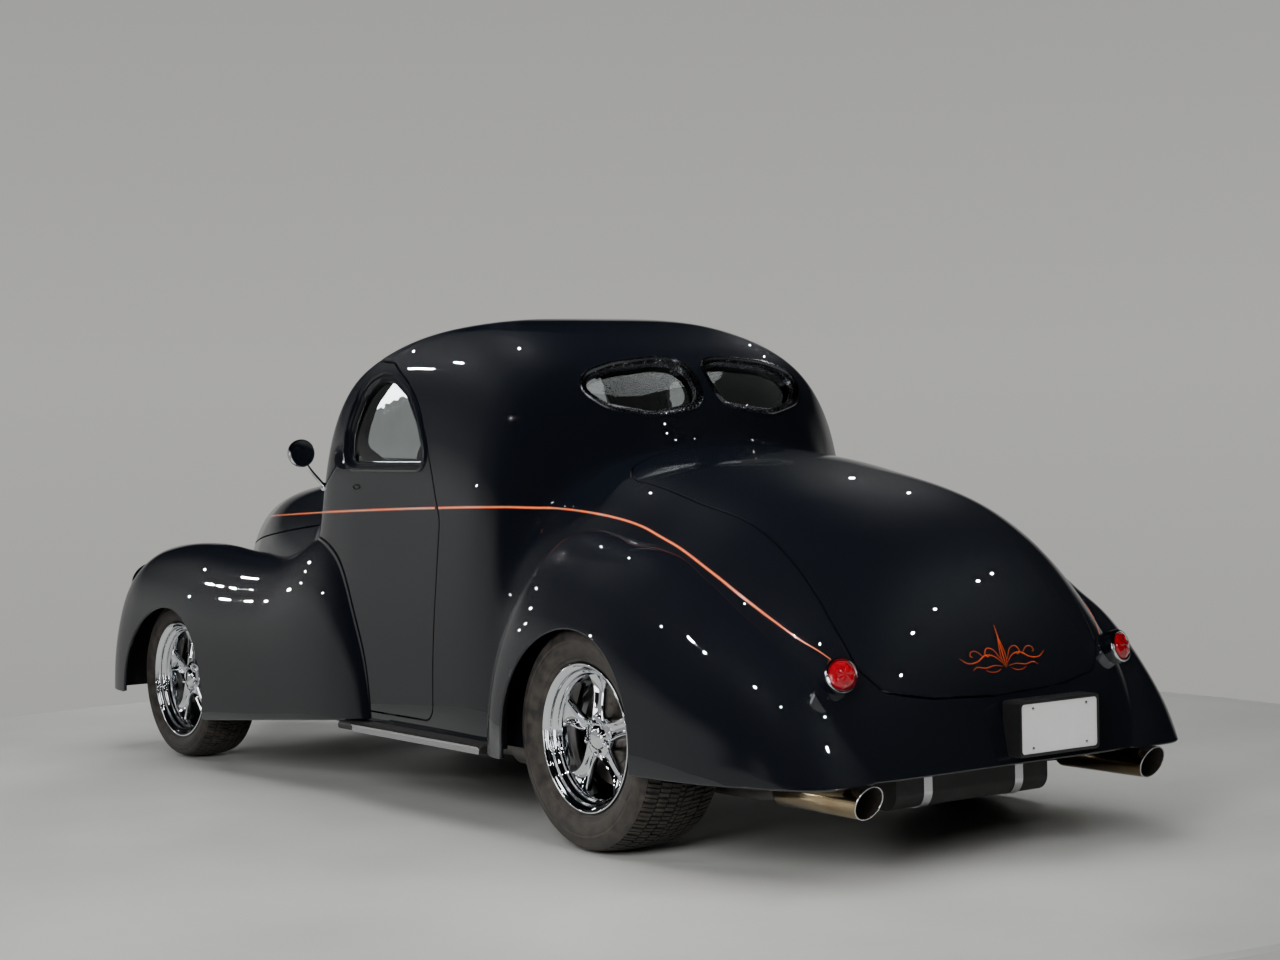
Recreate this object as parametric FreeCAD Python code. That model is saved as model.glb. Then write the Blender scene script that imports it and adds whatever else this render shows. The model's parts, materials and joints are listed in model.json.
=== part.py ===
import FreeCAD, Part
import math
import os

# Street rod coupe, built as separate pieces, millimetres.
# +X points forward, +Y to the driver's left, +Z up, the ground is at zero.

# Overall sizes
WHEELBASE = 2642.0
REAR_OVERHANG = 930.0
FRONT_OVERHANG = 690.0
OVERALL_HEIGHT = 1530.0

# Body shell
BODY_WIDTH = 1430.0
CABIN_WIDTH = 1400.0
ROCKER_HEIGHT = 250.0
DECK_HEIGHT = 1107.0
DOOR_WALL = 50.0
PANEL_WALL = 20.0
PANEL_GAP = 6.0
GLASS_INSET = 16.0
GLASS_THICKNESS = 6.0
SEAT_GAP = 0.2
OVERRUN = 80.0
BLEND_POWER = 30.0
SKIN_ANGLES = 26
INNER_ANGLES = 18
GLASS_ANGLES = 22
NOSE_ANGLES = 20
NOSE_INNER_ANGLES = 16
FENDER_ANGLES = 14
FENDER_MIDDLE_SHARE = 0.5
FENDER_SPREAD_SHARE = 0.2
HALVINGS = 40
FENDER_SQUARENESS = 2.4
CORNER_SHARE = 0.45
ROOF_MIDDLE_SHARE = 0.47
ROOF_SPREAD_SHARE = 0.10

# Doors, lids and windows
DOOR_CORNER = 50.0
DOOR_SKIN = 12.0
DOOR_REBATE = 22.0
REBATE_DEPTH = 30.0
REBATE_BOTTOM = 600.0
REBATE_START_SHARE = 0.545
WINDOW_CORNER = 60.0
LID_CORNER = 90.0
LID_REAR_CORNER = 70.0
PAD_LENGTH = 60.0
PAD_WIDTH = 12.0
PAD_GAP = 0.3
DOOR_REACH_SHARE = 0.30
SCREEN_REAR_SHARE = 0.572
BACKLIGHT_REAR_SHARE = 0.290
BACKLIGHT_FRONT_SHARE = 0.370
HOOD_EDGE_REAR = 860.0
HOOD_EDGE_FRONT = 690.0

# Fenders and running boards
FENDER_WALL = 12.0
WELL_CLEARANCE = 45.0
FRONT_WELL_EXTRA = 20.0
SIDE_CLEARANCE = 20.0
LINER_WALL = 6.0
FENDER_SPREAD = 560.0
FENDER_BULGE = 290.0
REAR_FENDER_HEIGHT = 920.0
REAR_FENDER_TAIL = 890.0
REAR_FENDER_LEAD = 500.0
REAR_ARCH_RADIUS = 316.0
REAR_ARCH_HEIGHT = 314.0
PONTOON_SPREAD = 640.0
PONTOON_BULGE = 200.0
PONTOON_HEIGHT = 780.0
PONTOON_TAIL = 1380.0
PONTOON_LEAD = 480.0
PONTOON_BOTTOM = 180.0
FRONT_ARCH_RADIUS = 325.0
FRONT_ARCH_HEIGHT = 232.0
FRONT_ARCH_SETBACK = 44.0
FENDER_BOTTOM = 240.0
BOARD_THICKNESS = 24.0
BOARD_OUTSIDE = 790.0
BOARD_CORNER = 10.0
BOARD_OVERLAP = 100.0
BOARD_GAP = 3.0
BRACKET_WIDTH = 40.0
BRACKET_THICKNESS = 8.0
FRONT_LIP = 48.0
STEP_RISE = 20.0

# Wheels and tyres
RIM_DIAMETER = 416.0
RIM_WALL = 9.0
RIM_LIP = 14.0
REAR_TYRE_DIAMETER = 640.0
REAR_TYRE_WIDTH = 284.0
REAR_TRACK = 1290.0
FRONT_TYRE_DIAMETER = 572.0
FRONT_TYRE_WIDTH = 200.0
FRONT_TRACK = 1310.0
RIM_WIDTH_SHARE = 0.86
TREAD_SHARE = 0.84
SHOULDER_DROP = 12.0
HUB_RADIUS = 60.0
HUB_BORE = 26.0
SPOKE_COUNT = 5
SPOKE_WIDTH = 46.0
SPOKE_THICKNESS = 20.0
SPOKE_WAIST_SHARE = 0.7
SPOKE_ROOT_SHARE = 0.8
CAP_RADIUS = 38.0
CAP_HEIGHT = 14.0
DISH_DEPTH = 46.0
HUB_DEPTH = 50.0
DISC_RADIUS = 140.0
DISC_THICKNESS = 20.0
SPINDLE_CLEARANCE = 0.3

# Chassis
RAIL_SPREAD = 720.0
RAIL_WIDTH = 60.0
RAIL_HEIGHT = 98.0
RAIL_BOTTOM = 150.0
RAIL_KICK = 250.0
RAIL_TAIL = 740.0
RAIL_LEAD = 400.0
KICK_REACH = 480.0
KICK_FLAT = 230.0
CROSS_LENGTH = 70.0
CROSS_SHARE = 0.9
LINK_RADIUS = 14.0
KNUCKLE_REACH = 105.0
STEER_ARM = 120.0
ARM_SPREAD = 110.0
AXLE_RADIUS = 38.0
DIFFERENTIAL_RADIUS = 130.0
KINGPIN_SPREAD = 1120.0
KINGPIN_RADIUS = 16.0
ARM_THICKNESS = 18.0
SPRING_RADIUS = 42.0
FLOOR_THICKNESS = 8.0
TUNNEL_RADIUS = 200.0
BOOT_FLOOR_HEIGHT = 520.0
RAIL_TAIL_RISE = 125.0
TAIL_BOTTOM = 262.0

# Engine, exhaust and tank
ENGINE_LENGTH = 560.0
ENGINE_GAP = 90.0
MOUNT_HEIGHT = 30.0
GEARBOX_TAPER = 0.6
ENGINE_WIDTH = 500.0
ENGINE_HEIGHT = 540.0
GEARBOX_RADIUS = 115.0
GEARBOX_LENGTH = 560.0
GEARBOX_HEIGHT = 320.0
SHAFT_RADIUS = 38.0
PIPE_RADIUS = 30.0
PIPE_SPREAD = 900.0
PIPE_HEIGHT = 186.0
PIPE_PORT_HEIGHT = 400.0
PORT_SHARE = 0.4
TIP_RADIUS = 45.0
TIP_SPREAD = 1040.0
TIP_HEIGHT = 216.5
TIP_LENGTH = 350.0
TIP_WALL = 2.5
TIP_SLANT = 38.0
TIP_INSET = 4.0
TIP_CONE = 30.0
PIPE_DROP = 300.0
HANGER_HEIGHT = 8.0
HANGER_INSET = 12.0
MUFFLER_RADIUS = 48.0
MUFFLER_LENGTH = 420.0
TANK_LENGTH = 330.0
TANK_WIDTH = 560.0
TANK_BOTTOM = 146.0
TANK_CORNER = 45.0
STRAP_WIDTH = 30.0
STRAP_THICKNESS = 3.0
STRAP_SHARE = 0.3

# Lamps, plate and mirrors
TAIL_LAMP_RADIUS = 48.0
TAIL_LAMP_DEPTH = 34.0
TAIL_LAMP_SPREAD = 994.0
TAIL_LAMP_HEIGHT = 518.0
TAIL_LAMP_TURN = 0.25
STATION_STEP = 0.0005
HEAD_LAMP_RADIUS = 92.0
HEAD_LAMP_HEIGHT = 600.0
HEAD_LAMP_DEPTH = 110.0
HEAD_LAMP_PLACE = 425.0
PLATE_LENGTH = 300.0
PLATE_HEIGHT = 150.0
PLATE_THICKNESS = 10.0
PLATE_MIDDLE = 355.0
PLATE_OFFSET = -145.0
PLATE_STANDOFF = 4.0
MIRROR_RADIUS = 46.0
MIRROR_DEPTH = 34.0
MIRROR_REACH = 92.0
MIRROR_RISE = 115.0
MIRROR_ARM_RADIUS = 7.0
MIRROR_SHARE = 0.6060
MIRROR_FOOT_ANGLE = 48.5

# Cabin furniture
SEAT_WIDTH = 1160.0
SEAT_DEPTH = 520.0
SEAT_HEIGHT = 200.0
SEAT_BACK_HEIGHT = 520.0
SEAT_BACK_THICKNESS = 160.0
SEAT_CORNER = 40.0
DASH_DEPTH = 150.0
DASH_HEIGHT = 170.0
WHEEL_RIM_RADIUS = 185.0
WHEEL_GRIP_RADIUS = 13.0
WHEEL_SPOKES = 3
COLUMN_RADIUS = 22.0
COLUMN_LENGTH = 330.0
COLUMN_TILT = 25.0
STEER_OFFSET = 330.0
SEAT_SHARE = 0.415
DASH_SHARE = 0.83

# Grille
GRILLE_BAR = 9.0
GRILLE_PITCH = 26.0
GRILLE_DEPTH = 14.0
GRILLE_REACH = 230.0
GRILLE_NEAR = 30.0
GRILLE_LOW = 330.0
GRILLE_HIGH = 600.0
GRILLE_POST = 14.0
GRILLE_CORNER = 30.0
GRILLE_MARGIN = 20.0
GRILLE_RIB_SHARE = 0.4
NOSE_BOTTOM = 280.0
RADIATOR_WIDTH = 380.0
RADIATOR_THICKNESS = 60.0
RADIATOR_HEIGHT = 420.0

LENGTH = REAR_OVERHANG + WHEELBASE + FRONT_OVERHANG
TAIL_X = -LENGTH / 2
REAR_AXLE_X = TAIL_X + REAR_OVERHANG
FRONT_AXLE_X = REAR_AXLE_X + WHEELBASE
NOSE_X = FRONT_AXLE_X + FRONT_OVERHANG
DECK_RISE = DECK_HEIGHT - ROCKER_HEIGHT
ROOF_RISE = OVERALL_HEIGHT - ROCKER_HEIGHT

# Lines of the lower body: place along the length, half width, deck rise, squareness
lower_body_shares = (
    (0.0115, 0.600, 0.019, 2.2), (0.0135, 0.660, 0.075, 2.2), (0.0192, 0.745, 0.222, 2.3),
    (0.026, 0.800, 0.330, 2.35), (0.040, 0.874, 0.484, 2.35), (0.066, 0.923, 0.653, 2.5),
    (0.101, 0.958, 0.788, 2.75), (0.136, 0.975, 0.869, 2.85), (0.183, 0.986, 0.928, 2.8),
    (0.242, 0.996, 0.974, 3.0), (0.300, 1.000, 1.000, 3.0), (0.382, 1.000, 0.992, 3.0),
    (0.476, 1.000, 0.957, 3.1), (0.547, 1.000, 0.928, 3.3), (0.617, 0.994, 0.901, 3.8),
    (0.652, 0.972, 0.894, 4.2), (0.711, 0.916, 0.881, 4.5), (0.758, 0.839, 0.863, 4.5),
    (0.805, 0.727, 0.840, 4.2), (0.852, 0.601, 0.814, 3.8), (0.899, 0.462, 0.782, 3.2),
    (0.934, 0.350, 0.747, 2.8), (0.964, 0.238, 0.694, 2.4), (0.983, 0.154, 0.630, 2.2),
    (0.995, 0.077, 0.525, 2.0), (1.000, 0.028, 0.362, 2.0))

# Lines of the cabin above it, in the same four columns
cabin_shares = (
    (0.2886, 0.170, 0.430, 3.4), (0.2980, 0.286, 0.586, 3.6), (0.3008, 0.414, 0.670, 3.8),
    (0.3067, 0.564, 0.762, 4.0), (0.3144, 0.685, 0.812, 4.0), (0.3233, 0.782, 0.848, 4.0),
    (0.3336, 0.885, 0.879, 4.0), (0.3534, 0.988, 0.920, 4.1), (0.3825, 1.008, 0.959, 4.1),
    (0.4294, 1.004, 0.992, 4.1), (0.4763, 1.000, 1.000, 4.2), (0.5148, 1.000, 0.993, 4.5),
    (0.5467, 1.000, 0.973, 5.0), (0.5702, 0.992, 0.939, 5.8), (0.5866, 0.984, 0.892, 6.6),
    (0.6030, 0.966, 0.790, 7.0), (0.6171, 0.936, 0.660, 6.5), (0.6312, 0.880, 0.520, 5.5),
    (0.6406, 0.800, 0.420, 4.5))

# Stations where the body lines are drawn, tail to cowl and cowl to nose
rear_station_shares = (
    0.0115, 0.0135, 0.016, 0.0192, 0.0225, 0.026, 0.032, 0.040, 0.052, 0.066, 0.082,
    0.101, 0.136, 0.183, 0.212, 0.242, 0.270, 0.288, 0.298, 0.3008, 0.3037, 0.3067, 0.3105,
    0.3144, 0.3188, 0.3233, 0.3336, 0.3534, 0.3825, 0.4294, 0.4763, 0.5148, 0.5467, 0.5702,
    0.5866, 0.5948, 0.6030, 0.6100, 0.6171, 0.6240, 0.632)
front_station_shares = (
    0.632, 0.652, 0.681, 0.711, 0.758, 0.805, 0.852, 0.899, 0.934, 0.964, 0.975, 0.983,
    0.990, 0.995, 0.998, 1.000)
COWL_SHARE = 0.632

# Places of the pads on the door sills
pad_shares = (0.445, 0.495)

# Lines of the fenders: place along the fender, half width, height
rear_fender_shares = (
    (0.000, 0.240, 0.020), (0.014, 0.380, 0.075), (0.043, 0.500, 0.180), (0.079, 0.590, 0.300),
    (0.122, 0.665, 0.410), (0.173, 0.775, 0.505), (0.223, 0.845, 0.590), (0.281, 0.905, 0.660),
    (0.388, 0.965, 0.805), (0.496, 1.000, 0.918), (0.604, 1.000, 0.980), (0.712, 1.000, 1.000),
    (0.806, 0.995, 0.955), (0.878, 0.970, 0.850), (0.928, 0.920, 0.720), (0.964, 0.820, 0.545),
    (0.989, 0.650, 0.320), (1.000, 0.480, 0.120))
pontoon_shares = (
    (0.000, 0.420, 0.100), (0.006, 0.500, 0.270), (0.020, 0.550, 0.517), (0.047, 0.625, 0.690),
    (0.080, 0.675, 0.860), (0.107, 0.710, 0.970), (0.155, 0.750, 1.070), (0.203, 0.780, 1.090),
    (0.262, 0.810, 1.050), (0.316, 0.840, 0.990), (0.370, 0.870, 0.957), (0.450, 0.910, 0.960),
    (0.531, 0.950, 0.975), (0.639, 0.990, 1.000), (0.746, 1.000, 0.995), (0.854, 0.995, 0.960),
    (0.908, 0.965, 0.910), (0.945, 0.915, 0.830), (0.977, 0.800, 0.690), (0.991, 0.630, 0.520),
    (1.000, 0.420, 0.300))

# Outlines seen from the side: place along the length, height above the rocker by the roof rise
door_shares = (
    (0.4228, 0.025), (0.4202, 0.509), (0.4367, 0.628), (0.4495, 0.701), (0.4665, 0.774),
    (0.4800, 0.812), (0.4986, 0.850), (0.5303, 0.898), (0.5600, 0.905), (0.5770, 0.870),
    (0.5960, 0.740), (0.6115, 0.580), (0.6115, 0.025))
window_shares = (
    (0.4512, 0.635), (0.4490, 0.665), (0.4674, 0.750), (0.4920, 0.822), (0.5185, 0.862),
    (0.5400, 0.872), (0.5530, 0.858), (0.5600, 0.820), (0.5650, 0.720), (0.5620, 0.635))
screen_shares = (
    (0.055, 0.632), (0.600, 0.646), (0.730, 0.690), (0.700, 0.800), (0.610, 0.885), (0.055, 0.918))
backlight_shares = (
    (0.045, 0.774), (0.330, 0.752), (0.520, 0.774), (0.600, 0.815), (0.560, 0.850),
    (0.420, 0.872), (0.200, 0.884), (0.035, 0.880))

# Trunk lid from above: place along the length, place across by the half width
trunk_shares = (
    (0.2965, 0.0), (0.2935, 0.280), (0.2830, 0.540), (0.2660, 0.622), (0.1900, 0.632),
    (-0.0100, 0.636))

# Trunk lid from behind: place across by the half width, height above the rocker by the deck rise
trunk_rear_shares = (
    (0.0, 0.220), (0.330, 0.232), (0.540, 0.262), (0.620, 0.340), (0.636, 0.480), (0.636, 1.200))

# Places of the running board brackets along the board
bracket_shares = (0.38, 0.85)


def at(share):
    return TAIL_X + share * LENGTH


def lines_at(rows, place):
    """Row of values at one place, by a curve that keeps between its neighbours."""
    places = [row[0] for row in rows]
    last = len(rows) - 1
    if place <= places[0]:
        return rows[0][1:]
    if place >= places[last]:
        return rows[last][1:]
    span = max(i for i in range(last) if places[i] <= place)
    width = places[span + 1] - places[span]
    t = (place - places[span]) / width
    values = []
    for column in range(1, len(rows[0])):
        slopes = [(rows[i + 1][column] - rows[i][column]) / (places[i + 1] - places[i])
                  for i in range(last)]
        start = knot_slope(places, slopes, span)
        end = knot_slope(places, slopes, span + 1)
        low = rows[span][column]
        high = rows[span + 1][column]
        bend = t * t * (3 - 2 * t)
        value = low + (high - low) * bend
        value += width * (start * t * (1 - t) ** 2 + end * t * t * (t - 1))
        values.append(value)
    return values


def knot_slope(places, slopes, knot):
    if knot == 0:
        return slopes[0]
    if knot == len(slopes):
        return slopes[-1]
    before = slopes[knot - 1]
    after = slopes[knot]
    if before * after <= 0:
        return 0.0
    left = places[knot] - places[knot - 1]
    right = places[knot + 1] - places[knot]
    first = 2 * right + left
    second = right + 2 * left
    return (first + second) / (first / before + second / after)


def oval_radius(half_width, rise, squareness, angle):
    across = abs(math.cos(angle) / half_width) ** squareness
    upward = abs(math.sin(angle) / rise) ** squareness
    return (across + upward) ** (-1 / squareness)


def body_radius(place, angle, wall):
    """Distance of the skin from the middle of the floor line, seen along the car."""
    half, rise, square = lines_at(lower_body_shares, place)
    lower = oval_radius(half * BODY_WIDTH / 2 - wall, rise * DECK_RISE - wall, square, angle)
    if place < cabin_shares[0][0] or place > cabin_shares[-1][0]:
        return lower
    half, rise, square = lines_at(cabin_shares, place)
    upper = oval_radius(half * CABIN_WIDTH / 2 - wall, rise * ROOF_RISE - wall, square, angle)
    most = max(lower, upper)
    return most * ((lower / most) ** BLEND_POWER + (upper / most) ** BLEND_POWER) ** (1 / BLEND_POWER)


def skin_solid(rows):
    """Solid under a skin that runs over the rows of points, flat below and at both ends."""
    surface = Part.BSplineSurface()
    surface.interpolate(rows)
    first_u, last_u, first_v, last_v = surface.bounds()
    first = surface.uIso(first_u).toShape()
    last = surface.uIso(last_u).toShape()
    left = surface.vIso(first_v).toShape()
    right = surface.vIso(last_v).toShape()
    front_line = Part.makeLine(rows[-1][0], rows[-1][-1])
    back_line = Part.makeLine(rows[0][-1], rows[0][0])
    faces = [surface.toShape()]
    faces.append(Part.Face(Part.Wire([first, back_line])))
    faces.append(Part.Face(Part.Wire([last, front_line])))
    faces.append(Part.Face(Part.Wire([left, front_line, right, back_line])))
    shell = Part.Shell(faces)
    shell.sewShape()
    solid = Part.Solid(shell)
    if solid.Volume < 0:
        solid.reverse()
    return solid


def inward(place):
    """Share of a wall by which a point moves along the car, towards the middle of the roof."""
    return max(-1, min(1, (ROOF_MIDDLE_SHARE - place) / ROOF_SPREAD_SHARE))


def body_solid(places, wall, angles):
    """Solid of the body inside the given wall, between the first and last station."""
    rows = []
    for place in places:
        row = []
        for step in range(angles + 1):
            angle = math.pi * step / angles
            reach = body_radius(place, angle, wall)
            row.append(FreeCAD.Vector(at(place) + wall * inward(place), reach * math.cos(angle),
                                      ROCKER_HEIGHT + reach * math.sin(angle)))
        rows.append(row)
    return skin_solid(rows)


def fender_solid(rows, start, length, middle, bulge, bottom, rise, wall, angles):
    """Solid of a left fender inside the given wall, a half oval standing on its bottom line."""
    points = []
    for place, width, height in rows:
        row = []
        shift = wall * max(-1, min(1, (FENDER_MIDDLE_SHARE - place) / FENDER_SPREAD_SHARE))
        for step in range(angles + 1):
            angle = math.pi * step / angles
            reach = oval_radius(width * bulge - wall, height * rise - wall, FENDER_SQUARENESS, angle)
            row.append(FreeCAD.Vector(start + place * length + shift,
                                      middle + reach * math.cos(angle), bottom + reach * math.sin(angle)))
        points.append(row)
    return skin_solid(points)


def rounded_wire(points, radius):
    """Closed wire through the points with its corners rounded, no more than the sides allow."""
    count = len(points)
    tangents = []
    for index in range(count):
        corner = points[index]
        to_last = points[index - 1] - corner
        to_next = points[(index + 1) % count] - corner
        half_turn = to_last.getAngle(to_next) / 2
        reach = min(radius / math.tan(half_turn), to_last.Length * CORNER_SHARE,
                    to_next.Length * CORNER_SHARE)
        first = corner + FreeCAD.Vector(to_last).normalize() * reach
        last = corner + FreeCAD.Vector(to_next).normalize() * reach
        middle_line = (FreeCAD.Vector(to_last).normalize() + FreeCAD.Vector(to_next).normalize())
        arc_radius = reach * math.tan(half_turn)
        depth = arc_radius / math.sin(half_turn) - arc_radius
        tangents.append((first, corner + middle_line.normalize() * depth, last))
    edges = []
    for index in range(count):
        first, middle, last = tangents[index]
        edges.append(Part.Arc(first, middle, last).toShape())
        edges.append(Part.makeLine(last, tangents[(index + 1) % count][0]))
    return Part.Wire(edges)


def side_prism(points, radius, low_y, high_y, grow=0.0):
    """Block with an outline seen from the side, from one place across the car to another."""
    corners = [FreeCAD.Vector(x, low_y, z) for x, z in points]
    face = Part.Face(rounded_wire(corners, radius))
    if grow:
        face = face.makeOffset2D(grow)
    return face.extrude(FreeCAD.Vector(0, high_y - low_y, 0))


def front_prism(points, radius, low_x, high_x, grow=0.0):
    """Block with an outline seen from the front or back."""
    corners = [FreeCAD.Vector(low_x, y, z) for y, z in points]
    face = Part.Face(rounded_wire(corners, radius))
    if grow:
        face = face.makeOffset2D(grow)
    return face.extrude(FreeCAD.Vector(high_x - low_x, 0, 0))


def top_prism(points, radius, low_z, high_z, grow=0.0):
    """Block with an outline seen from above."""
    corners = [FreeCAD.Vector(x, y, low_z) for x, y in points]
    face = Part.Face(rounded_wire(corners, radius))
    if grow:
        face = face.makeOffset2D(grow)
    return face.extrude(FreeCAD.Vector(0, 0, high_z - low_z))


def box(low_x, high_x, low_y, high_y, low_z, high_z):
    corner = FreeCAD.Vector(low_x, low_y, low_z)
    return Part.makeBox(high_x - low_x, high_y - low_y, high_z - low_z, corner)


def across_rod(radius, x, z, low_y, high_y):
    return Part.makeCylinder(radius, high_y - low_y, FreeCAD.Vector(x, low_y, z), FreeCAD.Vector(0, 1, 0))


def rod(radius, start, end):
    return Part.makeCylinder(radius, (end - start).Length, start, end - start)


def tube_run(radius, points):
    """Bent tube: straight runs joined by balls of the same size."""
    pieces = [rod(radius, points[i], points[i + 1]) for i in range(len(points) - 1)]
    pieces += [Part.makeSphere(radius, point) for point in points[1:-1]]
    return pieces[0].multiFuse(pieces[1:]).removeSplitter()


def mirrored(shape):
    return shape.mirror(FreeCAD.Vector(0, 0, 0), FreeCAD.Vector(0, 1, 0))


def side_points(shares):
    """Side outline in millimetres, from places along the length and shares of the roof rise."""
    return [(at(place), ROCKER_HEIGHT + rise * ROOF_RISE) for place, rise in shares]


def cross_points(shares):
    """Outline seen from behind, from shares of the half cabin width and of the roof rise."""
    return [(across * CABIN_WIDTH / 2, ROCKER_HEIGHT + rise * ROOF_RISE) for across, rise in shares]


def both_sides(points):
    """Outline of the left half, closed by its mirror image."""
    inner = [(x, -y) for x, y in reversed(points) if y > 0]
    return points + inner


def save(name, shape):
    solids = shape.Solids
    shape = solids[0] if len(solids) == 1 else Part.makeCompound(solids)
    shape.exportStep(os.path.join("parts", name + ".step"))


def cut_all(shape, tools):
    for tool in tools:
        shape = shape.cut(tool)
    return shape


def rear_fender_outer(wall):
    rows = rear_fender_shares if wall <= 0 else rear_fender_shares[1:-1]
    return fender_solid(rows, REAR_AXLE_X - REAR_FENDER_TAIL, REAR_FENDER_TAIL + REAR_FENDER_LEAD,
                        FENDER_SPREAD, FENDER_BULGE, FENDER_BOTTOM,
                        REAR_FENDER_HEIGHT - FENDER_BOTTOM, wall, FENDER_ANGLES)


def pontoon_outer(wall):
    rows = pontoon_shares if wall <= 0 else pontoon_shares[1:-1]
    return fender_solid(rows, FRONT_AXLE_X - PONTOON_TAIL, PONTOON_TAIL + PONTOON_LEAD,
                        PONTOON_SPREAD, PONTOON_BULGE, PONTOON_BOTTOM,
                        PONTOON_HEIGHT - PONTOON_BOTTOM, wall, FENDER_ANGLES)


def wheel_well(axle_x, radius, height, low_y, high_y):
    """Space for a wheel: round at the top, straight down at the sides."""
    low_z = min(FENDER_BOTTOM, PONTOON_BOTTOM) - OVERRUN
    well = across_rod(radius, axle_x, height, low_y, high_y)
    return well.fuse(box(axle_x - radius, axle_x + radius, low_y, high_y, low_z, height))


REAR_WELL_RADIUS = REAR_TYRE_DIAMETER / 2 + WELL_CLEARANCE
FRONT_WELL_RADIUS = FRONT_TYRE_DIAMETER / 2 + WELL_CLEARANCE + FRONT_WELL_EXTRA
REAR_WELL_INSIDE = REAR_TRACK / 2 - REAR_TYRE_WIDTH / 2 - SIDE_CLEARANCE
FRONT_WELL_INSIDE = RAIL_SPREAD / 2 - RAIL_WIDTH

skin = body_solid(rear_station_shares, 0.0, SKIN_ANGLES)
cavity = body_solid(rear_station_shares[2:], DOOR_WALL, INNER_ANGLES)
cabin_wall = skin.cut(cavity)
nose_skin = body_solid(front_station_shares, 0.0, NOSE_ANGLES)
nose_cavity = body_solid(front_station_shares[:-2], PANEL_WALL, NOSE_INNER_ANGLES)
nose_wall = nose_skin.cut(nose_cavity)
glass_skin = body_solid(rear_station_shares[2:], GLASS_INSET, GLASS_ANGLES)
glass_cavity = body_solid(rear_station_shares[2:], GLASS_INSET + GLASS_THICKNESS, GLASS_ANGLES)
glass_wall = glass_skin.cut(glass_cavity)
skin_clear = body_solid(rear_station_shares, -SEAT_GAP, SKIN_ANGLES)
nose_clear = body_solid(front_station_shares, -SEAT_GAP, NOSE_ANGLES)

half_body = BODY_WIDTH / 2 + OVERRUN
door_inside = CABIN_WIDTH * DOOR_REACH_SHARE
door_block = side_prism(side_points(door_shares), DOOR_CORNER, door_inside, half_body)
door_form = side_prism(side_points(door_shares), DOOR_CORNER, door_inside + PANEL_GAP, half_body,
                       -PANEL_GAP)
window_block = side_prism(side_points(window_shares), WINDOW_CORNER, door_inside, half_body)
window_form = side_prism(side_points(window_shares), WINDOW_CORNER, door_inside, half_body, -SEAT_GAP)
screen_low_x = at(SCREEN_REAR_SHARE)
screen_high_x = at(COWL_SHARE)
screen_block = front_prism(cross_points(screen_shares), WINDOW_CORNER, screen_low_x, screen_high_x)
screen_form = front_prism(cross_points(screen_shares), WINDOW_CORNER, screen_low_x, screen_high_x,
                          -SEAT_GAP)
back_low_x = at(BACKLIGHT_REAR_SHARE)
back_high_x = at(BACKLIGHT_FRONT_SHARE)
back_block = front_prism(cross_points(backlight_shares), WINDOW_CORNER, back_low_x, back_high_x)
back_form = front_prism(cross_points(backlight_shares), WINDOW_CORNER, back_low_x, back_high_x,
                        -SEAT_GAP)
pontoon = pontoon_outer(0.0)
pontoon_clear = pontoon_outer(-PANEL_GAP)


def trunk_prism(grow):
    """Block that takes the trunk lid out of the tail, outlined from above and from behind."""
    above = both_sides([(at(place), across * BODY_WIDTH / 2) for place, across in trunk_shares])
    behind = both_sides([(ROCKER_HEIGHT + rise * DECK_RISE, across * BODY_WIDTH / 2)
                         for across, rise in trunk_rear_shares])
    upright = top_prism(above, LID_CORNER, 0.0, OVERALL_HEIGHT, grow)
    level = front_prism([(y, z) for z, y in behind], LID_REAR_CORNER, TAIL_X - OVERRUN, at(COWL_SHARE), grow)
    return upright.common(level)


def deck_height(share):
    """Height of the body's middle line at a share of the length."""
    return ROCKER_HEIGHT + body_radius(share, math.pi / 2, 0.0)


def stop_height(share):
    """Height of the top of a lid's stop, inside the panel's thickness."""
    return deck_height(share) - (PANEL_WALL - PAD_WIDTH) / 2


def trunk_opening():
    """Hole for the lid, with a stop in the middle of its front edge for the lid to rest against."""
    front = trunk_shares[0][0]
    top = stop_height(front)
    stop = box(at(front) - PAD_LENGTH, at(front), -PAD_LENGTH / 2, PAD_LENGTH / 2, top - PAD_WIDTH, top)
    return trunk_prism(0.0).cut(stop.cut(trunk_prism(PAD_GAP - PANEL_GAP)))


def door_opening():
    """Hole for the left door, with two pads on the sill that the door rides over."""
    tight = side_prism(side_points(door_shares), DOOR_CORNER, door_inside, half_body, PAD_GAP - PANEL_GAP)
    sill = ROCKER_HEIGHT + door_shares[0][1] * ROOF_RISE
    outside = BODY_WIDTH / 2 - (DOOR_WALL - PAD_WIDTH) / 2
    opening = door_block
    for share in pad_shares:
        place = at(share)
        pad = box(place - PAD_LENGTH / 2, place + PAD_LENGTH / 2, outside - PAD_WIDTH, outside,
                  sill - OVERRUN, sill + OVERRUN)
        opening = opening.cut(pad.cut(tight))
    return opening


def axle_slot(grow):
    """Room for the rear axle tube where it passes through the wheel wells and under the floor."""
    return wheel_well(REAR_AXLE_X, AXLE_RADIUS + SIDE_CLEARANCE + grow, REAR_TYRE_DIAMETER / 2,
                      -half_body, half_body)


def tunnel_bore(radius):
    start = FreeCAD.Vector(REAR_AXLE_X + KICK_REACH - OVERRUN, 0, ROCKER_HEIGHT)
    return rod(radius, start, FreeCAD.Vector(at(COWL_SHARE) + OVERRUN, 0, ROCKER_HEIGHT))


def under_tail():
    """Everything lower than the tail's bottom edge, behind the rear wheels."""
    return box(TAIL_X - OVERRUN, REAR_AXLE_X - REAR_ARCH_RADIUS, -half_body * 2, half_body * 2, 0,
               TAIL_BOTTOM)


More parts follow.
